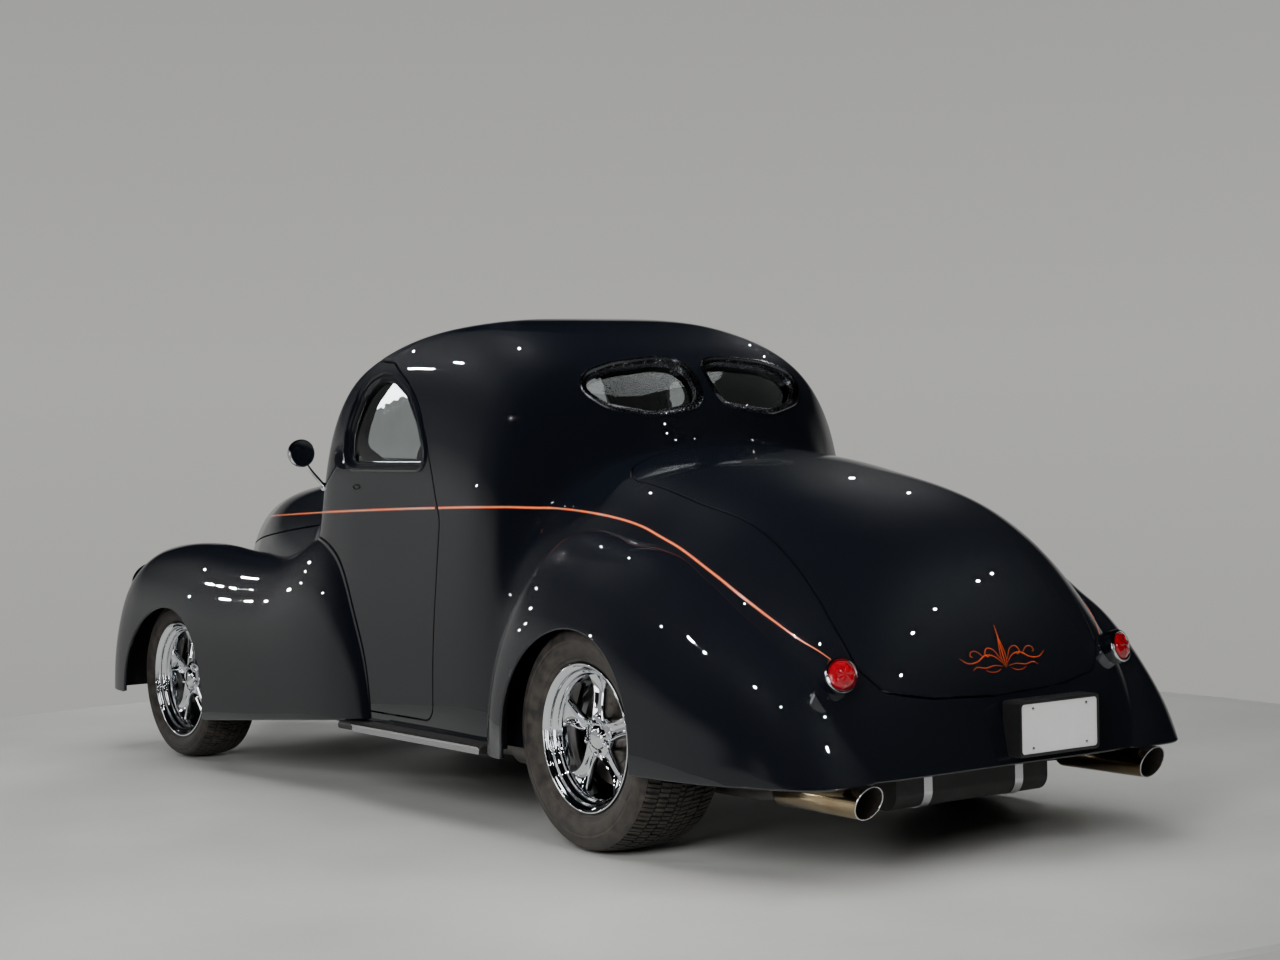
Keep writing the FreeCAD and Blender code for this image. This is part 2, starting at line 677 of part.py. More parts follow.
def make_body():
    """Cabin, quarters and tail pan as one hollow shell, open for doors, lid, glass and wheels."""
    door_hole = door_opening().cut(pontoon_clear)
    shell = cut_all(cabin_wall, [door_hole, mirrored(door_hole)])
    shell = cut_all(shell, [screen_block, mirrored(screen_block), back_block, mirrored(back_block)])
    shell = shell.cut(trunk_opening()).cut(tunnel_bore(TUNNEL_RADIUS)).cut(under_tail())
    well = wheel_well(REAR_AXLE_X, REAR_WELL_RADIUS, REAR_TYRE_DIAMETER / 2, REAR_WELL_INSIDE, half_body)
    outer = wheel_well(REAR_AXLE_X, REAR_WELL_RADIUS + LINER_WALL, REAR_TYRE_DIAMETER / 2,
                       REAR_WELL_INSIDE - LINER_WALL, BODY_WIDTH / 2 - DOOR_WALL / 2)
    above = box(TAIL_X, NOSE_X, 0, half_body, ROCKER_HEIGHT, OVERALL_HEIGHT)
    liner = outer.cut(well).common(above).common(skin).cut(axle_slot(0.0))
    shell = cut_all(shell, [well, mirrored(well)])
    shell = shell.multiFuse([liner, mirrored(liner)])
    top = stop_height(COWL_SHARE)
    stop = box(at(COWL_SHARE), at(COWL_SHARE) + PANEL_GAP - PAD_GAP, -PAD_LENGTH / 2, PAD_LENGTH / 2,
               top - PAD_WIDTH, top)
    return shell.fuse(stop)


def door_rebates():
    """What is cut from the inside of the door's front and upper edge so that it clears the pillar."""
    core = side_prism(side_points(door_shares), DOOR_CORNER, 0.0, half_body, -PANEL_GAP - DOOR_REBATE)
    room = box(at(REBATE_START_SHARE), at(COWL_SHARE), 0, half_body, REBATE_BOTTOM, OVERALL_HEIGHT)
    edge = body_solid(rear_station_shares[2:], DOOR_SKIN, INNER_ANGLES).common(room).cut(core)
    return [edge, body_solid(rear_station_shares[2:], REBATE_DEPTH, INNER_ANGLES).common(room)]


def make_door():
    """Left door with its window frame, the front lower corner cut clear of the front fender."""
    door = cabin_wall.common(door_form).cut(window_block).cut(pontoon_outer(-2 * PANEL_GAP))
    return cut_all(door, door_rebates())


def make_trunk_lid():
    thin = skin.cut(body_solid(rear_station_shares[1:], PANEL_WALL, INNER_ANGLES))
    return thin.common(trunk_prism(-PANEL_GAP))


def hood_block(grow):
    """Everything above the slanted line where the hood parts from the front sides."""
    rear = at(COWL_SHARE)
    slope = (HOOD_EDGE_REAR - HOOD_EDGE_FRONT) / (NOSE_X - rear)
    points = [(rear - OVERRUN, HOOD_EDGE_REAR + OVERRUN * slope + grow),
              (NOSE_X + OVERRUN, HOOD_EDGE_FRONT - OVERRUN * slope + grow),
              (NOSE_X + OVERRUN, OVERALL_HEIGHT), (rear - OVERRUN, OVERALL_HEIGHT)]
    corners = [FreeCAD.Vector(x, -half_body, z) for x, z in points]
    face = Part.Face(Part.makePolygon(corners + corners[:1]))
    return face.extrude(FreeCAD.Vector(0, 2 * half_body, 0))


def make_hood():
    rear = at(COWL_SHARE)
    room = box(rear + PANEL_GAP, NOSE_X, -half_body, half_body, HOOD_EDGE_FRONT, OVERALL_HEIGHT)
    return nose_wall.common(hood_block(PANEL_GAP)).common(room)


def grille_block(grow):
    points = [(NOSE_X - GRILLE_REACH, GRILLE_LOW), (NOSE_X - GRILLE_NEAR, GRILLE_LOW),
              (NOSE_X - GRILLE_NEAR, GRILLE_HIGH), (NOSE_X - GRILLE_REACH, GRILLE_HIGH)]
    return side_prism(points, GRILLE_CORNER, GRILLE_POST, half_body, grow)


def make_nose():
    """Front sides and prow under the hood, open for the grille and the front wheels."""
    shell = nose_wall.cut(hood_block(0.0))
    well = wheel_well(FRONT_AXLE_X, FRONT_WELL_RADIUS, FRONT_TYRE_DIAMETER / 2, FRONT_WELL_INSIDE,
                      half_body)
    shell = cut_all(shell, [well, mirrored(well), grille_block(0.0), mirrored(grille_block(0.0))])
    low = box(TAIL_X, NOSE_X, -half_body, half_body, 0, NOSE_BOTTOM)
    return shell.cut(low)


def make_grille():
    """Fine level bars that follow the prow just inside its skin, joined by upright ribs."""
    outer = body_solid(front_station_shares[:-2], PANEL_WALL + SEAT_GAP, NOSE_INNER_ANGLES)
    inner = body_solid(front_station_shares[:-3], PANEL_WALL + SEAT_GAP + GRILLE_DEPTH, NOSE_INNER_ANGLES)
    band = outer.cut(inner)
    rear = NOSE_X - GRILLE_REACH - GRILLE_MARGIN
    count = int((GRILLE_HIGH - GRILLE_LOW) / GRILLE_PITCH)
    slices = []
    for index in range(count + 1):
        low = GRILLE_LOW + index * GRILLE_PITCH - GRILLE_BAR / 2
        slices.append(box(rear, NOSE_X, -half_body, half_body, low, low + GRILLE_BAR))
    low = GRILLE_LOW - GRILLE_BAR / 2
    high = low + count * GRILLE_PITCH + GRILLE_BAR
    for side in (-1, 1):
        for place in (rear, NOSE_X - GRILLE_REACH * GRILLE_RIB_SHARE):
            slices.append(box(place, place + GRILLE_BAR, min(0, side * half_body), max(0, side * half_body),
                              low, high))
    bars = slices[0].multiFuse(slices[1:])
    return band.common(bars)


def make_rear_fender():
    """Left rear fender, thin sheet open below, with its round wheel arch."""
    shell = rear_fender_outer(0.0).cut(skin_clear).cut(rear_fender_outer(FENDER_WALL))
    arch = wheel_well(REAR_AXLE_X, REAR_ARCH_RADIUS, REAR_ARCH_HEIGHT, FENDER_SPREAD, half_body + OVERRUN)
    front = REAR_AXLE_X + REAR_FENDER_LEAD + OVERRUN
    under = box(REAR_AXLE_X, front, 0, BODY_WIDTH / 2 + SEAT_GAP, 0, ROCKER_HEIGHT + OVERRUN)
    shell = cut_all(shell, [arch, under, under_tail()])
    return max(shell.Solids, key=lambda solid: solid.Volume)


def make_front_fender():
    """Left front fender: a pontoon that tapers back over the cowl, open for wheel and lamp."""
    shell = pontoon.cut(skin_clear).cut(nose_clear).cut(pontoon_outer(FENDER_WALL))
    arch = wheel_well(FRONT_AXLE_X - FRONT_ARCH_SETBACK, FRONT_ARCH_RADIUS, FRONT_ARCH_HEIGHT,
                      PONTOON_SPREAD, half_body + OVERRUN)
    shell = shell.cut(arch)
    inside = wheel_well(FRONT_AXLE_X, FRONT_WELL_RADIUS, FRONT_TYRE_DIAMETER / 2, 0, PONTOON_SPREAD)
    shell = shell.cut(inside)
    lamp = rod(HEAD_LAMP_RADIUS + SEAT_GAP, head_lamp_point(-HEAD_LAMP_DEPTH), head_lamp_point(OVERRUN * 2))
    shell = shell.cut(lamp)
    shell = shell.cut(sloped_floor())
    return max(shell.Solids, key=lambda solid: solid.Volume)


def sloped_floor():
    """Block under the line where the front fender's bottom edge rises towards the door."""
    rear = FRONT_AXLE_X - PONTOON_TAIL - OVERRUN
    bend = FRONT_AXLE_X - FRONT_ARCH_RADIUS - FRONT_ARCH_SETBACK
    lip = PONTOON_BOTTOM + FRONT_LIP
    points = [(rear, 0), (NOSE_X, 0), (NOSE_X, lip), (FRONT_AXLE_X, lip), (bend, PONTOON_BOTTOM),
              (rear, ROCKER_HEIGHT + STEP_RISE)]
    corners = [FreeCAD.Vector(x, 0, z) for x, z in points]
    face = Part.Face(Part.makePolygon(corners + corners[:1]))
    return face.extrude(FreeCAD.Vector(0, half_body + OVERRUN, 0))


def head_lamp_point(forward):
    return FreeCAD.Vector(FRONT_AXLE_X + HEAD_LAMP_PLACE + forward, PONTOON_SPREAD, HEAD_LAMP_HEIGHT)


def make_running_board():
    """Left running board: a flat step with a rounded outer edge, held by two brackets."""
    rear = REAR_AXLE_X + REAR_FENDER_LEAD + BOARD_GAP
    front = FRONT_AXLE_X - PONTOON_TAIL + BOARD_OVERLAP
    inside = BODY_WIDTH / 2 + SEAT_GAP
    board = box(rear, front, inside, BOARD_OUTSIDE, ROCKER_HEIGHT - BOARD_THICKNESS, ROCKER_HEIGHT)
    edges = [edge for edge in board.Edges
             if edge.BoundBox.YMin > BOARD_OUTSIDE - SEAT_GAP and edge.BoundBox.XLength > BOARD_OUTSIDE / 2]
    board = board.makeFillet(BOARD_CORNER, edges)
    arms = []
    for share in bracket_shares:
        place = rear + (front - rear) * share
        arms.append(box(place - BRACKET_WIDTH / 2, place + BRACKET_WIDTH / 2,
                        RAIL_SPREAD / 2 + RAIL_WIDTH / 2 + SEAT_GAP, inside + BRACKET_WIDTH,
                        ROCKER_HEIGHT - BOARD_THICKNESS - BRACKET_THICKNESS,
                        ROCKER_HEIGHT - BOARD_THICKNESS))
    return board.multiFuse(arms)


def make_rim(tyre_width, wall):
    """Wheel about the Y axis at the origin: a stepped barrel, five spokes, hub and cap."""
    half = tyre_width * RIM_WIDTH_SHARE / 2
    radius = RIM_DIAMETER / 2
    seat = radius - RIM_LIP
    profile = [(half, radius), (half - wall, radius), (half - RIM_LIP, seat), (half - 2 * RIM_LIP, seat),
               (half - 3 * RIM_LIP, seat - RIM_LIP), (3 * RIM_LIP - half, seat - RIM_LIP),
               (2 * RIM_LIP - half, seat), (RIM_LIP - half, seat), (wall - half, radius), (-half, radius),
               (-half, radius - wall), (wall - half, seat - wall), (2 * RIM_LIP - half, seat - wall),
               (3 * RIM_LIP - half, seat - RIM_LIP - wall), (half - 3 * RIM_LIP, seat - RIM_LIP - wall),
               (half - 2 * RIM_LIP, seat - wall), (half - wall, seat - wall), (half, radius - wall)]
    corners = [FreeCAD.Vector(0, y, z) for y, z in profile]
    face = Part.Face(Part.makePolygon(corners + corners[:1]))
    barrel = face.revolve(FreeCAD.Vector(0, 0, 0), FreeCAD.Vector(0, 1, 0), 360)
    face_y = half - DISH_DEPTH
    hub = across_rod(HUB_RADIUS, 0, 0, face_y - HUB_DEPTH, face_y)
    pieces = [hub, across_rod(CAP_RADIUS, 0, 0, face_y, face_y + CAP_HEIGHT)]
    for index in range(SPOKE_COUNT):
        pieces.append(make_spoke(face_y, seat - RIM_LIP - wall / 2, 360 * index / SPOKE_COUNT))
    rim = barrel.multiFuse(pieces)
    bore = across_rod(HUB_BORE + SPINDLE_CLEARANCE, 0, 0, face_y - HUB_DEPTH - OVERRUN, face_y - CAP_HEIGHT)
    disc = across_rod(DISC_RADIUS, 0, 0, face_y - HUB_DEPTH - DISC_THICKNESS, face_y - HUB_DEPTH)
    return rim.fuse(disc).cut(bore)


def make_spoke(face_y, reach, angle):
    """One spoke, wide at hub and rim and narrow between them, falling back towards the rim."""
    waist = SPOKE_WIDTH / 2 * SPOKE_WAIST_SHARE
    root = HUB_RADIUS * SPOKE_ROOT_SHARE
    middle = (root + reach) / 2
    outline = [(-SPOKE_WIDTH / 2, root), (-waist, middle), (-SPOKE_WIDTH / 2, reach),
               (SPOKE_WIDTH / 2, reach), (waist, middle), (SPOKE_WIDTH / 2, root)]
    corners = [FreeCAD.Vector(x, face_y, z) for x, z in outline]
    face = Part.Face(Part.makePolygon(corners + corners[:1]))
    spoke = face.extrude(FreeCAD.Vector(0, -SPOKE_THICKNESS, 0))
    spoke.rotate(FreeCAD.Vector(0, 0, 0), FreeCAD.Vector(0, 1, 0), angle)
    return spoke


def make_tyre(diameter, width):
    """Tyre about the Y axis at the origin, its side walls bulging past the rim."""
    bead_y = width * RIM_WIDTH_SHARE / 2 - RIM_LIP - 2 * SEAT_GAP
    bead = RIM_DIAMETER / 2 - RIM_LIP + SEAT_GAP
    flange = RIM_DIAMETER / 2 + SEAT_GAP
    outer = diameter / 2
    tread_y = width / 2 * TREAD_SHARE
    shoulder = outer - SHOULDER_DROP
    waist = (flange + outer) / 2
    edges = []
    for side in (1, -1):
        edges.append(Part.makeLine(FreeCAD.Vector(0, side * bead_y, bead),
                                   FreeCAD.Vector(0, side * bead_y, flange)))
        edges.append(Part.Arc(FreeCAD.Vector(0, side * bead_y, flange),
                              FreeCAD.Vector(0, side * width / 2, waist),
                              FreeCAD.Vector(0, side * tread_y, shoulder)).toShape())
    edges.append(Part.Arc(FreeCAD.Vector(0, tread_y, shoulder), FreeCAD.Vector(0, 0, outer),
                          FreeCAD.Vector(0, -tread_y, shoulder)).toShape())
    edges.append(Part.makeLine(FreeCAD.Vector(0, bead_y, bead), FreeCAD.Vector(0, -bead_y, bead)))
    face = Part.Face(Part.Wire(Part.sortEdges(edges)[0]))
    return face.revolve(FreeCAD.Vector(0, 0, 0), FreeCAD.Vector(0, 1, 0), 360)


def placed(shape, x, y, z):
    moved = shape.copy()
    moved.translate(FreeCAD.Vector(x, y, z))
    return moved


def hub_back(tyre_width):
    """Distance from the wheel's middle plane to the back of its brake disc, towards the car."""
    return tyre_width * RIM_WIDTH_SHARE / 2 - DISH_DEPTH - HUB_DEPTH - DISC_THICKNESS


def make_knuckle():
    """Left knuckle: kingpin post between the arms and a spindle that carries the wheel."""
    hub_z = FRONT_TYRE_DIAMETER / 2
    kingpin_y = KINGPIN_SPREAD / 2
    low = FreeCAD.Vector(FRONT_AXLE_X, kingpin_y, hub_z - KNUCKLE_REACH)
    high = FreeCAD.Vector(FRONT_AXLE_X, kingpin_y, hub_z + KNUCKLE_REACH)
    post = rod(KINGPIN_RADIUS, low, high)
    boss = box(FRONT_AXLE_X - HUB_BORE, FRONT_AXLE_X + HUB_BORE, kingpin_y - HUB_BORE,
               kingpin_y + HUB_BORE, hub_z - HUB_BORE * 2, hub_z + HUB_BORE * 2)
    back = FRONT_TRACK / 2 + hub_back(FRONT_TYRE_WIDTH)
    spindle = across_rod(HUB_BORE, FRONT_AXLE_X, hub_z, kingpin_y, back + HUB_DEPTH)
    arm = box(FRONT_AXLE_X - STEER_ARM, FRONT_AXLE_X, kingpin_y - KINGPIN_RADIUS,
              kingpin_y + KINGPIN_RADIUS, hub_z - HUB_BORE * 2, hub_z - HUB_BORE)
    return post.multiFuse([boss, spindle, arm])


def make_arm(level, base_half):
    """Left wishbone from the frame rail out to the kingpin."""
    inside = RAIL_SPREAD / 2 - RAIL_WIDTH / 2
    tip = KINGPIN_SPREAD / 2
    outline = [(FRONT_AXLE_X - base_half, inside), (FRONT_AXLE_X + base_half, inside),
               (FRONT_AXLE_X + HUB_BORE, tip + HUB_BORE), (FRONT_AXLE_X - HUB_BORE, tip + HUB_BORE)]
    plate = top_prism(outline, ARM_THICKNESS, level, level + ARM_THICKNESS)
    window = [(FRONT_AXLE_X - base_half / 2, inside + RAIL_WIDTH + ARM_THICKNESS),
              (FRONT_AXLE_X + base_half / 2, inside + RAIL_WIDTH + ARM_THICKNESS),
              (FRONT_AXLE_X, tip - HUB_BORE * 2)]
    return plate.cut(top_prism(window, ARM_THICKNESS / 2, level, level + ARM_THICKNESS))


def make_front_suspension():
    """Upper and lower wishbones on both sides, with a spring leg between them."""
    hub_z = FRONT_TYRE_DIAMETER / 2
    low_z = hub_z - KNUCKLE_REACH - ARM_THICKNESS - SEAT_GAP
    high_z = hub_z + KNUCKLE_REACH + SEAT_GAP
    arms = make_arm(low_z, ARM_SPREAD).fuse(make_arm(high_z, ARM_SPREAD))
    inside = RAIL_SPREAD / 2 - RAIL_WIDTH / 2
    tower = box(FRONT_AXLE_X - ARM_SPREAD, FRONT_AXLE_X + ARM_SPREAD, inside, inside + RAIL_WIDTH,
                RAIL_BOTTOM + RAIL_HEIGHT + SEAT_GAP, high_z + ARM_THICKNESS)
    leg_y = inside + RAIL_WIDTH + SPRING_RADIUS + ARM_THICKNESS / 2
    spring = rod(SPRING_RADIUS, FreeCAD.Vector(FRONT_AXLE_X, leg_y, low_z + ARM_THICKNESS / 2),
                 FreeCAD.Vector(FRONT_AXLE_X, leg_y, high_z + ARM_THICKNESS / 2))
    side = arms.multiFuse([tower, spring])
    rails = box(FRONT_AXLE_X - ARM_SPREAD * 2, FRONT_AXLE_X + ARM_SPREAD * 2, 0, inside + RAIL_WIDTH,
                RAIL_BOTTOM, RAIL_BOTTOM + RAIL_HEIGHT)
    side = side.cut(rails)
    return both(side)


def make_frame():
    """Two box rails that rise over the rear axle, tied by crossmembers."""
    low = RAIL_BOTTOM
    high = RAIL_BOTTOM + RAIL_KICK
    tail = REAR_AXLE_X - RAIL_TAIL
    nose = FRONT_AXLE_X + RAIL_LEAD
    rear_run = REAR_AXLE_X - KICK_REACH
    rear_flat = REAR_AXLE_X - KICK_FLAT
    front_flat = REAR_AXLE_X + KICK_FLAT
    front_run = REAR_AXLE_X + KICK_REACH
    tail_low = low + RAIL_TAIL_RISE
    line = [(tail, tail_low), (rear_run, tail_low), (rear_flat, high), (front_flat, high),
            (front_run, low), (nose, low)]
    points = line + [(x, z + RAIL_HEIGHT) for x, z in reversed(line)]
    corners = [FreeCAD.Vector(x, RAIL_SPREAD / 2 - RAIL_WIDTH / 2, z) for x, z in points]
    rail = Part.Face(Part.makePolygon(corners + corners[:1])).extrude(FreeCAD.Vector(0, RAIL_WIDTH, 0))
    half = RAIL_SPREAD / 2
    members = []
    places = [(tail + CROSS_LENGTH, tail_low), (rear_flat + CROSS_LENGTH / 2, high),
              (REAR_AXLE_X + KICK_REACH + CROSS_LENGTH, low), (at(COWL_SHARE) - GEARBOX_LENGTH, low),
              (FRONT_AXLE_X, low), (nose - CROSS_LENGTH, low)]
    for x, z in places:
        members.append(box(x - CROSS_LENGTH / 2, x + CROSS_LENGTH / 2, -half, half, z,
                           z + RAIL_HEIGHT * CROSS_SHARE))
    return rail.multiFuse([mirrored(rail)] + members)


def make_rear_axle():
    """Axle tube with its differential, stub shafts, trailing links and spring legs."""
    hub_z = REAR_TYRE_DIAMETER / 2
    back = REAR_TRACK / 2 + hub_back(REAR_TYRE_WIDTH)
    tube = across_rod(AXLE_RADIUS, REAR_AXLE_X, hub_z, -back + SIDE_CLEARANCE, back - SIDE_CLEARANCE)
    stub = across_rod(HUB_BORE, REAR_AXLE_X, hub_z, -back - HUB_DEPTH, back + HUB_DEPTH)
    case = Part.makeSphere(DIFFERENTIAL_RADIUS, FreeCAD.Vector(REAR_AXLE_X, 0, hub_z))
    case = case.common(box(REAR_AXLE_X - DIFFERENTIAL_RADIUS, REAR_AXLE_X + DIFFERENTIAL_RADIUS,
                           -DIFFERENTIAL_RADIUS, DIFFERENTIAL_RADIUS, hub_z - DIFFERENTIAL_RADIUS,
                           RAIL_BOTTOM + RAIL_KICK + RAIL_HEIGHT - FLOOR_THICKNESS))
    pieces = [stub, case]
    spring_x = REAR_AXLE_X - KICK_FLAT + CROSS_LENGTH / 2
    link_front = REAR_AXLE_X + KICK_REACH + CROSS_LENGTH / 2 - SEAT_GAP
    for side in (-1, 1):
        y = side * (RAIL_SPREAD / 2 - RAIL_WIDTH / 2 - SPRING_RADIUS - FLOOR_THICKNESS)
        link_end = FreeCAD.Vector(link_front + OVERRUN, y, RAIL_BOTTOM + RAIL_HEIGHT / 2)
        link = rod(LINK_RADIUS, FreeCAD.Vector(REAR_AXLE_X, y, hub_z - AXLE_RADIUS / 2), link_end)
        pieces.append(link.cut(box(link_front, at(COWL_SHARE), -half_body, half_body, 0, DECK_HEIGHT)))
        foot = FreeCAD.Vector(spring_x, y, hub_z - AXLE_RADIUS)
        top = FreeCAD.Vector(spring_x, y, RAIL_BOTTOM + RAIL_KICK - SEAT_GAP)
        pieces.append(rod(SPRING_RADIUS, foot, top))
        pieces.append(box(spring_x - SPRING_RADIUS, REAR_AXLE_X, y - LINK_RADIUS,
                          y + LINK_RADIUS, hub_z - AXLE_RADIUS, hub_z))
    return tube.multiFuse(pieces)


def make_floor():
    """Cabin floor with its tunnel, firewall, boot floor and the step between them."""
    room = body_solid(rear_station_shares[2:], DOOR_WALL + SEAT_GAP, INNER_ANGLES)
    rear = REAR_AXLE_X + KICK_REACH + FLOOR_THICKNESS
    cowl = at(COWL_SHARE) - DOOR_WALL
    half = BODY_WIDTH / 2
    floor = box(rear, cowl, -half, half, ROCKER_HEIGHT, ROCKER_HEIGHT + FLOOR_THICKNESS)
    firewall = box(cowl - FLOOR_THICKNESS, cowl, -half, half, ROCKER_HEIGHT, DECK_HEIGHT)
    boot = box(TAIL_X, rear, -half, half, BOOT_FLOOR_HEIGHT, BOOT_FLOOR_HEIGHT + FLOOR_THICKNESS)
    step = box(rear - FLOOR_THICKNESS, rear, -half, half, ROCKER_HEIGHT, BOOT_FLOOR_HEIGHT)
    room_ahead = box(rear - FLOOR_THICKNESS, cowl, -half, half, ROCKER_HEIGHT, DECK_HEIGHT)
    tunnel = tunnel_bore(TUNNEL_RADIUS).common(room_ahead)
    sheet = floor.multiFuse([firewall, boot, step, tunnel])
    sheet = sheet.cut(tunnel_bore(TUNNEL_RADIUS - FLOOR_THICKNESS)).common(room)
    wells = wheel_well(REAR_AXLE_X, REAR_WELL_RADIUS + LINER_WALL + SEAT_GAP, REAR_TYRE_DIAMETER / 2,
                       REAR_WELL_INSIDE - LINER_WALL - SEAT_GAP, half + OVERRUN)
    return cut_all(sheet, [wells, mirrored(wells)])


def make_seat_cushion():
    rear = at(SEAT_SHARE)
    block = box(rear, rear + SEAT_DEPTH, -SEAT_WIDTH / 2, SEAT_WIDTH / 2,
                ROCKER_HEIGHT + FLOOR_THICKNESS + TUNNEL_RADIUS,
                ROCKER_HEIGHT + FLOOR_THICKNESS + TUNNEL_RADIUS + SEAT_HEIGHT)
    base = box(rear + SEAT_CORNER, rear + SEAT_DEPTH - SEAT_CORNER, TUNNEL_RADIUS + SEAT_CORNER,
               SEAT_WIDTH / 2 - SEAT_CORNER, ROCKER_HEIGHT + FLOOR_THICKNESS + SEAT_GAP,
               ROCKER_HEIGHT + FLOOR_THICKNESS + TUNNEL_RADIUS + SEAT_CORNER)
    cushion = block.makeFillet(SEAT_CORNER, block.Edges)
    return cushion.multiFuse([base, mirrored(base)])


def make_seat_back():
    front = at(SEAT_SHARE) - SEAT_GAP
    low = ROCKER_HEIGHT + FLOOR_THICKNESS + TUNNEL_RADIUS
    block = box(front - SEAT_BACK_THICKNESS, front, -SEAT_WIDTH / 2, SEAT_WIDTH / 2, low,
                low + SEAT_BACK_HEIGHT)
    return block.makeFillet(SEAT_CORNER, block.Edges)


def make_dash():
    """Dashboard: a rounded bar across the cabin under the windshield."""
    room = body_solid(rear_station_shares[2:], DOOR_WALL + SEAT_GAP, INNER_ANGLES)
    front = at(COWL_SHARE) - DOOR_WALL - FLOOR_THICKNESS - SEAT_GAP
    top = ROCKER_HEIGHT + DECK_RISE * DASH_SHARE
    bar = box(front - DASH_DEPTH, front, -CABIN_WIDTH / 2, CABIN_WIDTH / 2, top - DASH_HEIGHT, top)
    edges = [edge for edge in bar.Edges
             if edge.BoundBox.YLength > CABIN_WIDTH / 2 and edge.BoundBox.XMax < front - DASH_DEPTH / 2]
    return bar.makeFillet(SEAT_CORNER, edges).common(room)


def make_steering_wheel(dash):
    """Steering wheel with three spokes on a slanted column that ends in the dashboard's face."""
    top = ROCKER_HEIGHT + DECK_RISE * DASH_SHARE
    foot = FreeCAD.Vector(at(COWL_SHARE) - DOOR_WALL - FLOOR_THICKNESS - DASH_DEPTH, STEER_OFFSET,
                          top - DASH_HEIGHT / 2)
    slope = FreeCAD.Vector(-math.cos(math.radians(COLUMN_TILT)), 0, math.sin(math.radians(COLUMN_TILT)))
    centre = foot + slope * COLUMN_LENGTH
    ring = Part.makeTorus(WHEEL_RIM_RADIUS, WHEEL_GRIP_RADIUS, centre, slope)
    column = rod(COLUMN_RADIUS, foot - slope * COLUMN_RADIUS, centre).cut(dash)
    hub = rod(COLUMN_RADIUS * 2, centre - slope * COLUMN_RADIUS, centre + slope * WHEEL_GRIP_RADIUS)
    pieces = [column, hub]
    up = FreeCAD.Vector(0, 1, 0).cross(slope)
    for turn in range(WHEEL_SPOKES):
        angle = math.pi / 2 + 2 * math.pi * turn / WHEEL_SPOKES
        away = FreeCAD.Vector(0, math.cos(angle), 0) + up * math.sin(angle) * -1
        pieces.append(rod(WHEEL_GRIP_RADIUS / 2, centre, centre + away * WHEEL_RIM_RADIUS))
    return ring.multiFuse(pieces)


def make_engine():
    """Plain engine block with its mounts down to the front crossmember and rails."""
    rear = at(COWL_SHARE) + ENGINE_GAP
    low = RAIL_BOTTOM + RAIL_HEIGHT + SEAT_GAP
    block = box(rear, rear + ENGINE_LENGTH, -ENGINE_WIDTH / 2, ENGINE_WIDTH / 2, low + MOUNT_HEIGHT,
                low + MOUNT_HEIGHT + ENGINE_HEIGHT)
    block = block.makeFillet(SEAT_CORNER, block.Edges)
    mounts = []
    for side in (-1, 1):
        y = side * (RAIL_SPREAD / 2)
        inner = side * (ENGINE_WIDTH / 2 - SEAT_CORNER)
        mounts.append(box(rear + ENGINE_LENGTH / 2 - MOUNT_HEIGHT, rear + ENGINE_LENGTH / 2 + MOUNT_HEIGHT,
                          min(y, inner), max(y, inner), low, low + MOUNT_HEIGHT * 2))
    return block.multiFuse(mounts)


def make_driveline():
    """Gearbox on its crossmember and the shaft back to the differential."""
    front = at(COWL_SHARE) + ENGINE_GAP - SEAT_GAP
    rear = front - GEARBOX_LENGTH - ENGINE_GAP
    level = GEARBOX_HEIGHT
    case = Part.makeCone(GEARBOX_RADIUS, GEARBOX_RADIUS * GEARBOX_TAPER, front - rear,
                         FreeCAD.Vector(front, 0, level), FreeCAD.Vector(-1, 0, 0))
    nose = FreeCAD.Vector(REAR_AXLE_X + DIFFERENTIAL_RADIUS + SEAT_GAP, 0, REAR_TYRE_DIAMETER / 2)
    shaft = rod(SHAFT_RADIUS, FreeCAD.Vector(rear + ENGINE_GAP, 0, level), nose)
    place = at(COWL_SHARE) - GEARBOX_LENGTH
    foot = box(place - CROSS_LENGTH / 2, place + CROSS_LENGTH / 2, -GEARBOX_RADIUS / 2, GEARBOX_RADIUS / 2,
               RAIL_BOTTOM + RAIL_HEIGHT * CROSS_SHARE + SEAT_GAP, level)
    return case.multiFuse([shaft, foot])


